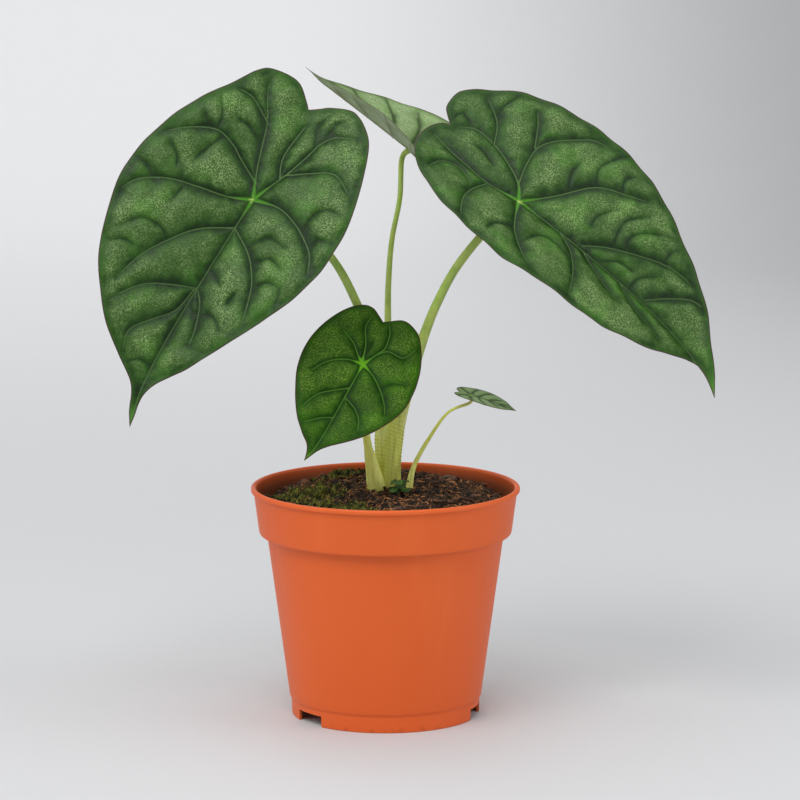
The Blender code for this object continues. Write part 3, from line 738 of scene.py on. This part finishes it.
def flat_outline(blade):
    """The closed outline, evenly spaced on each side, with a slightly uneven margin."""
    half = blade["spokes"] // 2
    right_side = blade.get("right") or [(along, -beside) for along, beside in blade["left"]]
    left = even_points(smooth_curve(blade["left"], 8), half)
    right = even_points(smooth_curve(right_side, 8), half)
    outline = np.vstack([left[:-1], right[:0:-1]]) * OUTLINE_SHARE
    heading = np.arctan2(outline[:, 1], outline[:, 0])
    waves = np.array([noise.noise((3.2 * cos(a), 3.2 * sin(a), blade["spokes"])) for a in heading])
    return outline * (1 - MARGIN_WAVES * np.abs(waves)[:, None])


def leaf_faces(rings, spokes):
    """Faces of the upper side, the margin and the lower side, over two layers of points."""
    count = rings * spokes + 1
    top = grid_faces(rings, spokes)
    top += fan_faces([(rings - 1) * spokes + index for index in range(spokes)], count - 1)
    low = [tuple(vertex + count for vertex in reversed(face)) for face in top]
    edge = []
    for index in range(spokes):
        after = (index + 1) % spokes
        edge.append((after, index, index + count, after + count))
    return top, edge, low


def make_blade(name, blade):
    """A thin leaf: pillows between its veins above, raised veins below, thin at the margin."""
    outline = flat_outline(blade)
    spokes = len(outline)
    rings = blade["rings"]
    shares = np.arange(rings, 0, -1) / rings
    flat = np.vstack([outline * share for share in shares] + [np.zeros((1, 2))])

    length = blade["left"][-1][0]
    size = length / FULL_LENGTH
    line, near = nearest(flat, blade.get("veins") or even_veins(blade), 1.6 * size)
    crease_line, crease = line * 0 + NO_CREASE, near * 0 + NO_CREASE
    if "creases" in blade:
        crease_line, crease = nearest(flat, blade["creases"], 0.8, both_ends=True)
    rim = rim_distance(flat, outline)
    wide = 3.0 * size + 0.9
    pillow = (1 - np.exp(-near / wide)) * (0.30 + 0.70 * (1 - np.exp(-crease / 1.7)))
    wobble = np.array([noise.noise((u * 0.11, v * 0.11, 3.0)) for u, v in flat])
    fine = np.array([noise.noise((u * 0.42, v * 0.42, 9.0)) for u, v in flat])
    swell = pillow * (1 + 0.25 * wobble) + 0.05 * fine
    fade = soften(rim, 0.0, 7.0 * size + 1.0)
    height = blade["pillow"] * 1.9 * (swell - 0.45) * fade
    ripple = 0.35 * size * np.sin(0.35 * flat[:, 0] + 0.5 * wobble) * (1 - soften(rim, 0.5, 8))
    dome = np.clip(swell * (0.35 + 0.65 * soften(rim, 0, 5 * size + 1)), 0, 1.2)

    upper = blade_surface(blade, flat)
    upper[:, 2] += height + ripple
    ridge = (0.9 * size + 0.15) * np.exp(-(near / (1.1 * size + 0.3)) ** 2) * fade
    thickness = LEAF_THICKNESS * (0.35 + 0.65 * soften(rim, 0, 2.5))
    lower = upper.copy()
    lower[:, 2] -= thickness + ridge
    upper[:, 2] -= CAD_CLEARANCE
    turn = turn_matrix(blade["turn"])
    points = np.vstack([upper, lower]) @ turn.T + np.array(blade["attach"])

    top, edge, low = leaf_faces(rings, spokes)
    faces = top + edge + low
    signed_area = 0.5 * np.sum(outline[:, 0] * np.roll(outline[:, 1], -1)
                               - np.roll(outline[:, 0], -1) * outline[:, 1])
    if signed_area < 0:
        faces = [tuple(reversed(face)) for face in faces]
    fields = {"line": line, "crease": crease_line, "near": near, "dome": dome, "rim": rim,
              "tip": np.clip(flat[:, 0] / length, 0, 1) ** 6,
              "hub": np.linalg.norm(flat, axis=1) / size}
    fields = {key: np.concatenate([values, values]) for key, values in fields.items()}
    piece = make_piece(name + "_leaf", points, faces, [blade["top"], under_leaf], fields)
    index = np.zeros(len(faces), np.int32)
    index[len(top) + len(edge):] = 1
    piece.data.polygons.foreach_set("material_index", index)
    stand_for(piece, blade["slot"], name)


for blade_name, blade in BLADES.items():
    make_blade(blade_name, blade)


# ---------------------------------------------------------------- stem and stalks

def tube_points(path, radii, sides, flatness=1.0, shape=None):
    """Rings of points along a path; shape(ring number, angles) may scale each ring."""
    rings = []
    across = np.array((1.0, 0.0, 0.0))
    angles = np.arange(sides) * 2 * pi / sides
    for index, centre in enumerate(path):
        ahead = path[min(index + 1, len(path) - 1)] - path[max(index - 1, 0)]
        ahead = ahead / np.linalg.norm(ahead)
        across = across - ahead * (across @ ahead)
        across /= np.linalg.norm(across)
        beside = np.cross(ahead, across) * flatness
        reach = radii[index] * (shape(index, angles) if shape else 1.0)
        reach = np.broadcast_to(reach, angles.shape)
        rings.append(centre + across * (reach * np.cos(angles))[:, None]
                     + beside * (reach * np.sin(angles))[:, None])
    return np.concatenate(rings)


def make_stem():
    """Thick stem of leaf bases rolled round each other, with one sheath edge showing."""
    knots = ((1.2, 2, 80), (1.2, 2, 84), (1.2, 2, 91), (1.0, 2, 98), (0.9, 1.5, 106),
             (1.1, 1, 115), (1.6, 1, 125), (2.4, 1, 133), (3.4, 1, 140), (4.4, 1, 147),
             (5.0, 1, 152))
    widths = (3.0, 8.0, 9.0, 6.6, 5.9, 6.0, 6.2, 6.4, 6.0, 4.4, 1.2)
    rows, sides = 190, 120
    path = even_points(smooth_curve(knots, 12), rows - 1)
    radii = even_points(smooth_curve([(z[2], width) for z, width in zip(knots, widths)], 12), 600)
    radii = np.interp(path[:, 2], radii[:, 0], radii[:, 1])

    def sheath(index, angles):
        share = index / (rows - 1)
        z = path[index][2]
        ribs = 0.016 * np.sin(17 * angles + 2 * share) + 0.009 * np.sin(41 * angles - 5 * share)
        edge = (angles + 1.75 - 1.1 * share) % (2 * pi)
        step = 0.11 * np.exp(-edge / 1.1) * soften(z, 90, 112)
        second = (angles + 4.3 + 0.5 * share) % (2 * pi)
        step = step + 0.07 * np.exp(-second / 0.9) * soften(z, 96, 120)
        slant = z + 2.2 * np.sin(angles + 0.6)
        wrinkle = 0.020 * np.sin(3.6 * slant + 1.5 * sin(0.21 * z)) * soften(z, 100, 118)
        swelling = np.array([noise.noise((cos(a) * 0.9, sin(a) * 0.9, z * 0.10)) for a in angles])
        return 1 + ribs + step + wrinkle + 0.05 * swelling - 0.035

    points = tube_points(path, radii, sides, 0.8, sheath)
    share = np.repeat(np.linspace(0, 1, rows), sides)
    piece = make_piece("stem_sheaths", points, tube_faces(rows, sides), [pale_stem],
                       {"share": share})
    stand_for(piece, "stem_green", "pseudostem")


# Points from inside the stem up to just under the blade, and the radius at each point.
STALKS = {
    "petiole_left": ("blade_left", (
        (0.8, 0.4, 110), (0.2, 0.0, 122), (-0.6, -1.0, 134), (-2.0, -2.2, 146), (-4.4, -3.8, 158),
        (-8, -5.8, 172), (-12.8, -8.6, 187), (-22.3, -12, 205.5), (-37, -14, 222),
        (-50, -17.5, 231)),
        (2.4, 3.6, 3.6, 3.1, 2.5, 2.1, 1.9, 1.8, 1.7, 1.6)),
    "petiole_right": ("blade_right", (
        (2.0, 0.8, 108), (3.2, 0.8, 120), (5.0, 0.7, 132), (7.4, 0.5, 141), (10.2, 0, 150),
        (13.4, -0.5, 159.5), (17.5, -1, 172), (22.6, -2, 185), (30.6, -3, 200.5),
        (41.3, -3, 214.6), (50, 0, 223)),
        (2.4, 3.7, 4.1, 3.7, 3.1, 2.6, 2.2, 2.0, 1.9, 1.9, 1.8)),
    "petiole_back": ("blade_back", (
        (1.6, 1.6, 110), (2.2, 2.4, 124), (2.5, 4.0, 138), (1.8, 7.2, 152), (1.1, 12, 176),
        (1.4, 17, 193.5), (2.9, 22, 211), (6.4, 26.5, 229)),
        (2.0, 2.8, 3.0, 2.2, 1.5, 1.3, 1.2, 1.15)),
    "petiole_small": ("blade_small", (
        (-3.0, -3.6, 91), (-3.6, -4.2, 99), (-4.7, -5.6, 107), (-6.0, -7.0, 114),
        (-7.6, -9.0, 122), (-9.4, -13.0, 136), (-10.6, -18, 149)),
        (4.4, 4.4, 3.9, 3.0, 1.9, 1.3, 1.1)),
    "petiole_seedling": ("blade_seedling", (
        (9.6, -6.5, 92), (10.2, -6, 101), (12.8, -4.5, 113), (19.8, -2, 125.5), (28, -1, 136.5)),
        (2.2, 1.8, 1.1, 0.8, 0.65)),
}


def make_stalk(name, blade_name, points, radii):
    """A fleshy stalk that grows out of the stem and ends just under its blade."""
    blade = BLADES[blade_name]
    material = green_stalk if blade["slot"] == "leaf_green" else pale_stem
    up = turn_matrix(blade["turn"]) @ np.array((0.0, 0.0, 1.0))
    attach = np.array(blade["attach"], float)
    ending = [attach - up * 6 * radii[-1], attach - up * (LEAF_THICKNESS + 0.4)]
    knots = list(np.array(points, float)) + ending
    widths = np.array(list(radii) + [radii[-1], radii[-1] * 1.25])
    rows, sides = 150, 28
    path = even_points(smooth_curve(knots, 12), rows - 1)
    spread = np.linalg.norm(np.diff(np.array(knots), axis=0), axis=1)
    places = np.concatenate([[0], np.cumsum(spread)]) / spread.sum()
    radius = np.interp(np.linspace(0, 1, rows), places, widths)

    def uneven(index, angles):
        wave = noise.noise((index * 0.09, radius[0], 2.0))
        groove = -0.16 * np.exp(-((angles - 1.2) / 0.5) ** 2) * (1 - index / rows)
        return 1 + 0.03 * wave + 0.02 * np.sin(6 * angles + 0.1 * index) + groove

    share = np.repeat(np.linspace(0, 1, rows), sides)
    piece = make_piece(name + "_fleshy", tube_points(path, radius, sides, 0.94, uneven),
                       tube_faces(rows, sides), [material], {"share": share})
    stand_for(piece, "stalk_green", name)


make_stem()
for stalk_name, stalk in STALKS.items():
    make_stalk(stalk_name, *stalk)


# ---------------------------------------------------------------- potting mix

rng = np.random.default_rng(7)
SOIL_RADIUS = 56.2
SOIL_CROWN = 102.4              # height of the mix at the pot's axis
SOIL_FALL = 8.2                 # how much lower it lies at the collision model's edge
CAD_SOIL_RADIUS = 56.4
STEM_FOOT = (2.2, 2.0)
STEM_CLEARANCE = 7.5


def soil_height(x, y):
    """The collision model's heap, with its low waves."""
    heap = SOIL_CROWN - SOIL_FALL * (x * x + y * y) / CAD_SOIL_RADIUS ** 2
    return heap + 0.5 * (sin(x / 8 + 1) * cos(y / 7) + sin(x / 5 + y / 6))


def lumpy_height(x, y):
    """The heap with a rise behind the stem, and lumps, crumbs and grains."""
    behind = 2.2 * soften(y, 2, 34) * (1 - soften(np.hypot(x, y), 47, 56))
    lumps = behind + noise.noise((x * 0.13, y * 0.13, 1.0)) * 1.8
    crumbs = noise.noise((x * 0.42, y * 0.42, 5.0)) * 1.2
    grains = noise.noise((x * 1.3, y * 1.3, 8.0)) * 0.35
    return soil_height(x, y) + lumps + crumbs + grains


def scatter(count, spread=SOIL_RADIUS - 1.2):
    """Random places over the mix, outside the foot of the stem."""
    places = []
    while len(places) < count:
        x, y = rng.uniform(-spread, spread, 2)
        clear = np.hypot(x - STEM_FOOT[0], y - STEM_FOOT[1]) > STEM_CLEARANCE
        if clear and x * x + y * y < spread * spread:
            places.append((x, y))
    return places


# Radius and height up the side of the mix, just inside the pot's wall.
SOIL_SIDE = ((40.2, 9.7), (41.2, 10.6), (51.0, 81.0), (51.7, 83.5), (54.2, 83.7), (55.2, 86.0))


def make_soil():
    """The plug of mix with its lumpy top."""
    rows, sides = 96, 300
    rings = [ring_points(radius, height, sides) for radius, height in SOIL_SIDE]
    for step in range(rows):
        ring = ring_points(SOIL_RADIUS * (1 - step / rows), 0, sides)
        for point in ring:
            point[2] = lumpy_height(point[0], point[1])
        rings.append(ring)
    points = np.vstack(rings + [np.array([(0, 0, lumpy_height(0, 0))])])
    count = len(rings)
    faces = grid_faces(count, sides)
    faces.append(tuple(range(sides - 1, -1, -1)))
    faces += fan_faces([(count - 1) * sides + index for index in range(sides)], len(points) - 1)
    piece = make_piece("potting_mix_top", points, faces, [soil_dark])
    stand_for(piece, "potting_mix", "potting_mix")


def icosphere():
    """Points and faces of a small round body, to be repeated."""
    shape = bmesh.new()
    bmesh.ops.create_icosphere(shape, subdivisions=2, radius=1.0)
    points = np.array([vertex.co[:] for vertex in shape.verts])
    faces = [tuple(vertex.index for vertex in face.verts) for face in shape.faces]
    shape.free()
    return points, faces


def random_turn():
    return turn_matrix(np.degrees(rng.uniform(0, 2 * pi, 3)))


def make_lumps(name, slot, material, places, size, flat):
    """Many uneven crumbs, made as one piece."""
    ball, ball_faces = icosphere()
    points, faces = [], []
    for x, y in places:
        start = len(ball) * len(points)
        uneven = np.array([1 + 0.7 * noise.noise(corner * 2.3 + (x, y, 0)) for corner in ball])
        scale = size * rng.uniform(0.5, 1.25) * np.array((1, rng.uniform(0.6, 1), flat))
        lump = (ball * uneven[:, None] * scale) @ random_turn().T
        points.append(lump + (x, y, lumpy_height(x, y) + 0.25 * size))
        faces += shifted(ball_faces, start)
    stand_for(make_piece(name, np.vstack(points), faces, [material]), slot)


def make_fibres(name, slot, material, count, length, radius, rise):
    """Thin bent fibres lying on the mix, some with an end in the air."""
    points, faces = [], []
    total = 0
    for x, y in scatter(count, SOIL_RADIUS - 5):
        reach = length * rng.uniform(0.4, 1.2)
        angle = rng.uniform(0, 2 * pi)
        bend = rng.uniform(-0.7, 0.7)
        up = rise * rng.uniform(0.0, 1.0) ** 2
        knots = []
        for step in range(4):
            t = step / 3
            px = x + reach * (t - 0.5) * cos(angle + bend * t)
            py = y + reach * (t - 0.5) * sin(angle + bend * t)
            if np.hypot(px, py) > SOIL_RADIUS - 1:
                px, py = px * 0.93, py * 0.93
            knots.append((px, py, lumpy_height(px, py) + 0.3 + up * t * t * reach))
        path = smooth_curve(knots, 3)
        radii = np.linspace(radius, radius * 0.5, len(path)) * rng.uniform(0.6, 1.3)
        points.append(tube_points(path, radii, 5))
        faces += tube_faces(len(path), 5, total)
        total += len(points[-1])
    stand_for(make_piece(name, np.vstack(points), faces, [material]), slot)


# name: (x, y, half length, half width, turn in degrees, thickness)
MOSS = {
    "moss_left": (-34, -6, 16, 18, 20, 2.4),
    "moss_front": (-20, -36, 16, 10, -18, 2.0),
    "moss_back": (-16, 30, 17, 10, 15, 2.0),
}


def make_moss(name, count=2600):
    """A cushion of tiny pointed leaflets, thickest in its middle."""
    x0, y0, half_length, half_width, turn, thickness = MOSS[name]
    angle = radians(turn)
    points, faces = [], []
    while len(points) < count:
        a, b = rng.normal(0, 0.5, 2)
        inside = 1.15 - a * a - b * b
        x = x0 + a * half_length * cos(angle) - b * half_width * sin(angle)
        y = y0 + a * half_length * sin(angle) + b * half_width * cos(angle)
        if inside < 0 or np.hypot(x, y) > SOIL_RADIUS - 2.5:
            continue
        patch = noise.noise((x * 0.25, y * 0.25, 4.0))
        if patch < 0.06 and rng.uniform() < 0.85:
            continue
        lift = thickness * min(1.0, inside) * rng.uniform(0.1, 1.0) * (0.7 + patch)
        length = rng.uniform(0.9, 2.1)
        width = length * 0.26
        leaflet = np.array(((0, 0, 0), (length * 0.45, width, 0.12), (length, 0, 0.35 * length),
                            (length * 0.45, -width, 0.12), (length * 0.45, 0, -0.18)))
        spin = rng.uniform(0, 360)
        tilt = rng.uniform(-75, -5)
        leaflet = leaflet @ turn_matrix((0, tilt, spin)).T
        start = 5 * len(points)
        points.append(leaflet + (x, y, lumpy_height(x, y) + max(lift, 0.1)))
        for low, high in ((0, 1), (1, 2), (2, 3), (3, 0)):
            faces.append((start + low, start + high, start + 4))
        faces.append((start, start + 3, start + 2, start + 1))
    piece = make_piece(name + "_leaflets", np.vstack(points), faces, [moss_green], smooth=False)
    stand_for(piece, "moss", name)


# name: (x, y, length, width, height, turn in degrees)
CHIPS = {
    "bark_chip_1": (25, -38, 9, 5, 3.0, 25),
    "bark_chip_2": (38, -6, 8, 5, 2.6, -40),
    "bark_chip_3": (28, 22, 10, 6, 3.2, 70),
    "bark_chip_4": (6, -38, 7, 4.5, 2.6, 10),
    "bark_chip_5": (10, 36, 8, 5, 2.8, -20),
}


def make_chip(name, x, y, length, width, height, turn):
    """A flake of bark: a ragged slab with layered sides."""
    rows, sides = 9, 40
    rings = []
    for row in range(rows):
        level = row / (rows - 1)
        pull = 1 - abs(2 * level - 1) ** 3 * 0.35
        ring = []
        for step in range(sides):
            angle = 2 * pi * step / sides
            ragged = 1 + 0.16 * noise.noise((cos(angle) * 2.2 + x, sin(angle) * 2.2, row * 0.35))
            layer = 1 + 0.05 * sin(9 * level + 3 * cos(angle))
            reach = pull * ragged * layer * 0.5
            tip = noise.noise((cos(angle) * 1.4, sin(angle) * 1.4, x)) * 0.3
            ring.append((cos(angle) * length * reach, sin(angle) * width * reach,
                         (level - 0.5 + tip * level) * height * 0.62))
        rings += ring
    points = np.array(rings) @ turn_matrix((6, -8, turn)).T
    points = points + (x, y, lumpy_height(x, y) + 0.30 * height)
    piece = make_piece(name + "_flake", points, tube_faces(rows, sides), [bark_brown])
    piece.data.set_sharp_from_angle(angle=radians(45))
    stand_for(piece, "bark", name)


def make_twig():
    """A bent twig with knots and a broken side shoot."""
    knots = ((19, -26, 1.4), (22, -27.5, 1.9), (26, -27, 2.4), (30, -26, 2.3), (33, -25, 2.9),
             (39, -20, 2.6))
    path = [(x, y, lumpy_height(x, y) + lift) for x, y, lift in knots]
    curve = smooth_curve(path, 10)
    radii = 0.7 * (1 + 0.18 * np.sin(np.arange(len(curve)) * 0.8))
    shoot = smooth_curve((path[2], path[2] + np.array((1.5, -2.5, 1.2)),
                          path[2] + np.array((2.0, -5.0, 1.0))), 6)
    points = np.vstack([tube_points(curve, radii, 12),
                        tube_points(shoot, np.linspace(0.45, 0.25, len(shoot)), 12)])
    faces = tube_faces(len(curve), 12) + tube_faces(len(shoot), 12, 12 * len(curve))
    stand_for(make_piece("twig_knotty", points, faces, [bark_brown]), "bark", "twig")


def make_husk():
    """A round ribbed seed husk with a flattened end."""
    x, y = -37, 24
    rows, sides = 28, 48
    points = []
    for row in range(rows):
        level = pi * (row + 0.5) / rows
        for step in range(sides):
            angle = 2 * pi * step / sides
            reach = 2.2 * sin(level) * (1 + 0.05 * cos(9 * angle) + 0.04 * sin(4 * level + angle))
            points.append((reach * cos(angle), reach * sin(angle), -1.9 * cos(level)))
    points = np.array(points) @ turn_matrix((30, 15, 0)).T + (x, y, soil_height(x, y) + 2.4)
    stand_for(make_piece("husk_ribbed", points, tube_faces(rows, sides), [bark_brown]),
              "bark", "seed_husk")


WEED_FOOT = (5.5, -14)
WEED_LEAVES = 11
GOLDEN_ANGLE = 137.5            # turn from one leaf to the next
WEED_ROWS, WEED_SIDES = 9, 32   # grid over one small leaf
SHEET_GAP = 0.28                # thickness of a small leaf


def weed_sheet(base, turned, length, width, layer):
    """Points of one side of a cupped round leaf with a notch where its stalk meets it."""
    points = []
    for row in range(WEED_ROWS):
        share = row / (WEED_ROWS - 1)
        for step in range(WEED_SIDES):
            around = 2 * pi * step / WEED_SIDES
            notch = exp(-(around / 0.45) ** 2)
            lobe = 1 - 0.22 * notch - 0.22 * exp(-((2 * pi - around) / 0.45) ** 2)
            u = share * lobe * cos(around) * length / 2 + length * 0.42
            v = share * sin(around) * width / 2
            cup = 0.07 * v * v - 0.35 * exp(-(v / 0.4) ** 2) * share - layer * SHEET_GAP
            points.append(np.array((u, v, cup)) @ turned.T + base)
    return np.array(points)


def make_weed():
    """A small dark clover-like sprout: cupped round leaves on short stalks."""
    x, y = WEED_FOOT
    foot = np.array((x, y, soil_height(x, y) - 1.0))
    points, faces = [], []
    total = 0
    for index in range(WEED_LEAVES):
        direction = GOLDEN_ANGLE * index
        height = rng.uniform(2.5, 8.0)
        length = rng.uniform(3.4, 4.8)
        width = length * 0.85
        angle = radians(direction)
        out = np.array((cos(angle), sin(angle), 0))
        base = foot + out * rng.uniform(0.6, 2.6) + (0, 0, 1 + height)
        stalk = smooth_curve((foot, foot + (0, 0, 2 + height * 0.4), base + out * 0.6), 5)
        points.append(tube_points(stalk, np.linspace(0.55, 0.35, len(stalk)), 8))
        faces += tube_faces(len(stalk), 8, total)
        total += len(points[-1])
        turned = turn_matrix((rng.uniform(-15, 15), rng.uniform(5, 40), direction))
        sheet = grid_faces(WEED_ROWS, WEED_SIDES)
        for layer in (0, 1):
            points.append(weed_sheet(base, turned, length, width, layer))
            placed = shifted(sheet, total)
            faces += placed if layer == 0 else [tuple(reversed(face)) for face in placed]
            total += WEED_ROWS * WEED_SIDES
        rim_low = total - WEED_SIDES
        rim_top = rim_low - WEED_ROWS * WEED_SIDES
        for step in range(WEED_SIDES):
            after = (step + 1) % WEED_SIDES
            faces.append((rim_top + step, rim_low + step, rim_low + after, rim_top + after))
    piece = make_piece("weed_sprout_leaves", np.vstack(points), faces, [weed_green])
    stand_for(piece, "weed_green", "weed_sprout")


make_soil()
make_lumps("peat_crumbs", "potting_mix", soil_dark, scatter(900), 1.1, 0.8)
make_lumps("peat_lumps", "potting_mix", soil_dark, scatter(190), 1.7, 0.6)
make_lumps("bark_crumbs", "bark", bark_brown, scatter(240), 1.1, 0.45)
make_fibres("coir_fibres", "bark", fibre_red, 900, 8.0, 0.34, 0.22)
make_fibres("loose_fibres", "bark", fibre_red, 90, 12.0, 0.20, 0.6)
make_fibres("root_threads", "potting_mix", soil_dark, 300, 9.0, 0.36, 0.25)
for moss_name in MOSS:
    make_moss(moss_name)
for chip_name, chip in CHIPS.items():
    make_chip(chip_name, *chip)
make_twig()
make_husk()
make_weed()


# ---------------------------------------------------------------- studio

def make_backdrop():
    """A pale floor that sweeps up into a wall far behind the plant."""
    material, tree, shader = new_material("backdrop")
    place = place_socket(tree)
    cloud = noise_value(tree, place, 1.2, 2)
    grain = noise_value(tree, place, 900, 2)
    apart = add_node(tree, "ShaderNodeSeparateXYZ", {"Vector": place})
    # Painted light and shade: further back, the floor and wall run from bright on the left to darker on
    # the right.
    away = remap(tree, apart.outputs["Y"], 0.35, 1.9)
    painted_light_across = remap(tree, apart.outputs["X"], -0.15, 0.50)
    near = blend(tree, cloud, srgb(196, 197, 199), srgb(201, 202, 203))
    far = blend(tree, painted_light_across, srgb(243, 243, 244), srgb(176, 177, 178))
    base = blend(tree, away, near, far)
    finish(tree, shader, base, remap(tree, grain, 0.3, 0.7, 0.7, 0.8), bump(tree, grain, 0.05))
    width, front, back, radius, top, arc_steps = 9000, -4000, 1500, 1200, 5200, 24
    profile = [(front, 0.0), (-800, 0.0), (0, 0.0), (back, 0.0)]
    for step in range(1, arc_steps + 1):
        angle = pi / 2 * step / arc_steps
        profile.append((back + radius * sin(angle), radius * (1 - cos(angle))))
    profile.append((back + radius, top))
    points = []
    for depth, height in profile:
        points += [(-width, depth, height), (width, depth, height)]
    floor = make_piece("backdrop", points, grid_faces(len(profile), 2, closed=False), [material])


def add_light(name, place, target, size, power):
    """A soft rectangular lamp; place, target and size are in metres, power in watts."""
    data = bpy.data.lights.new(name, "AREA")
    data.shape = "RECTANGLE"
    data.size, data.size_y = size
    data.energy = power
    lamp = bpy.data.objects.new(name, data)
    bpy.context.scene.collection.objects.link(lamp)
    lamp.location = Vector(place)
    lamp.rotation_euler = (Vector(target) - Vector(place)).to_track_quat("-Z", "Y").to_euler()


make_backdrop()
middle = Vector(POT_AXIS) + Vector((0, 0, 0.18))
add_light("key_soft", (-0.6, -1.4, 2.1), middle, (1.6, 1.2), 35)
add_light("fill_left", (-1.9, -0.6, 0.9), middle, (1.0, 1.6), 9.5)
add_light("fill_right", (1.9, -0.7, 0.8), middle, (1.0, 1.6), 13)
add_light("top_wash", (0.2, 0.5, 2.4), middle, (2.2, 1.6), 17)

world = bpy.data.worlds.new("studio")
world.use_nodes = True
sky = world.node_tree.nodes["Background"].inputs
sky["Color"].default_value = (0.97, 0.98, 1.0, 1.0)
sky["Strength"].default_value = 0.50
bpy.context.scene.world = world
bpy.context.scene.view_settings.view_transform = "Standard"

CAMERA_PLACE = (6.5, -1794, 440.8)  # from the foot of the pot's axis
CAMERA_TILT = 80.54             # from straight down
camera_data = bpy.data.cameras.new("camera")
camera_data.lens = 184.05
camera_data.sensor_width = 36.0
camera_data.clip_end = 50
camera = bpy.data.objects.new("camera", camera_data)
camera.location = Vector(POT_AXIS) + Vector(CAMERA_PLACE) * MM
camera.rotation_euler = (radians(CAMERA_TILT), 0, 0)
bpy.context.scene.collection.objects.link(camera)
bpy.context.scene.camera = camera
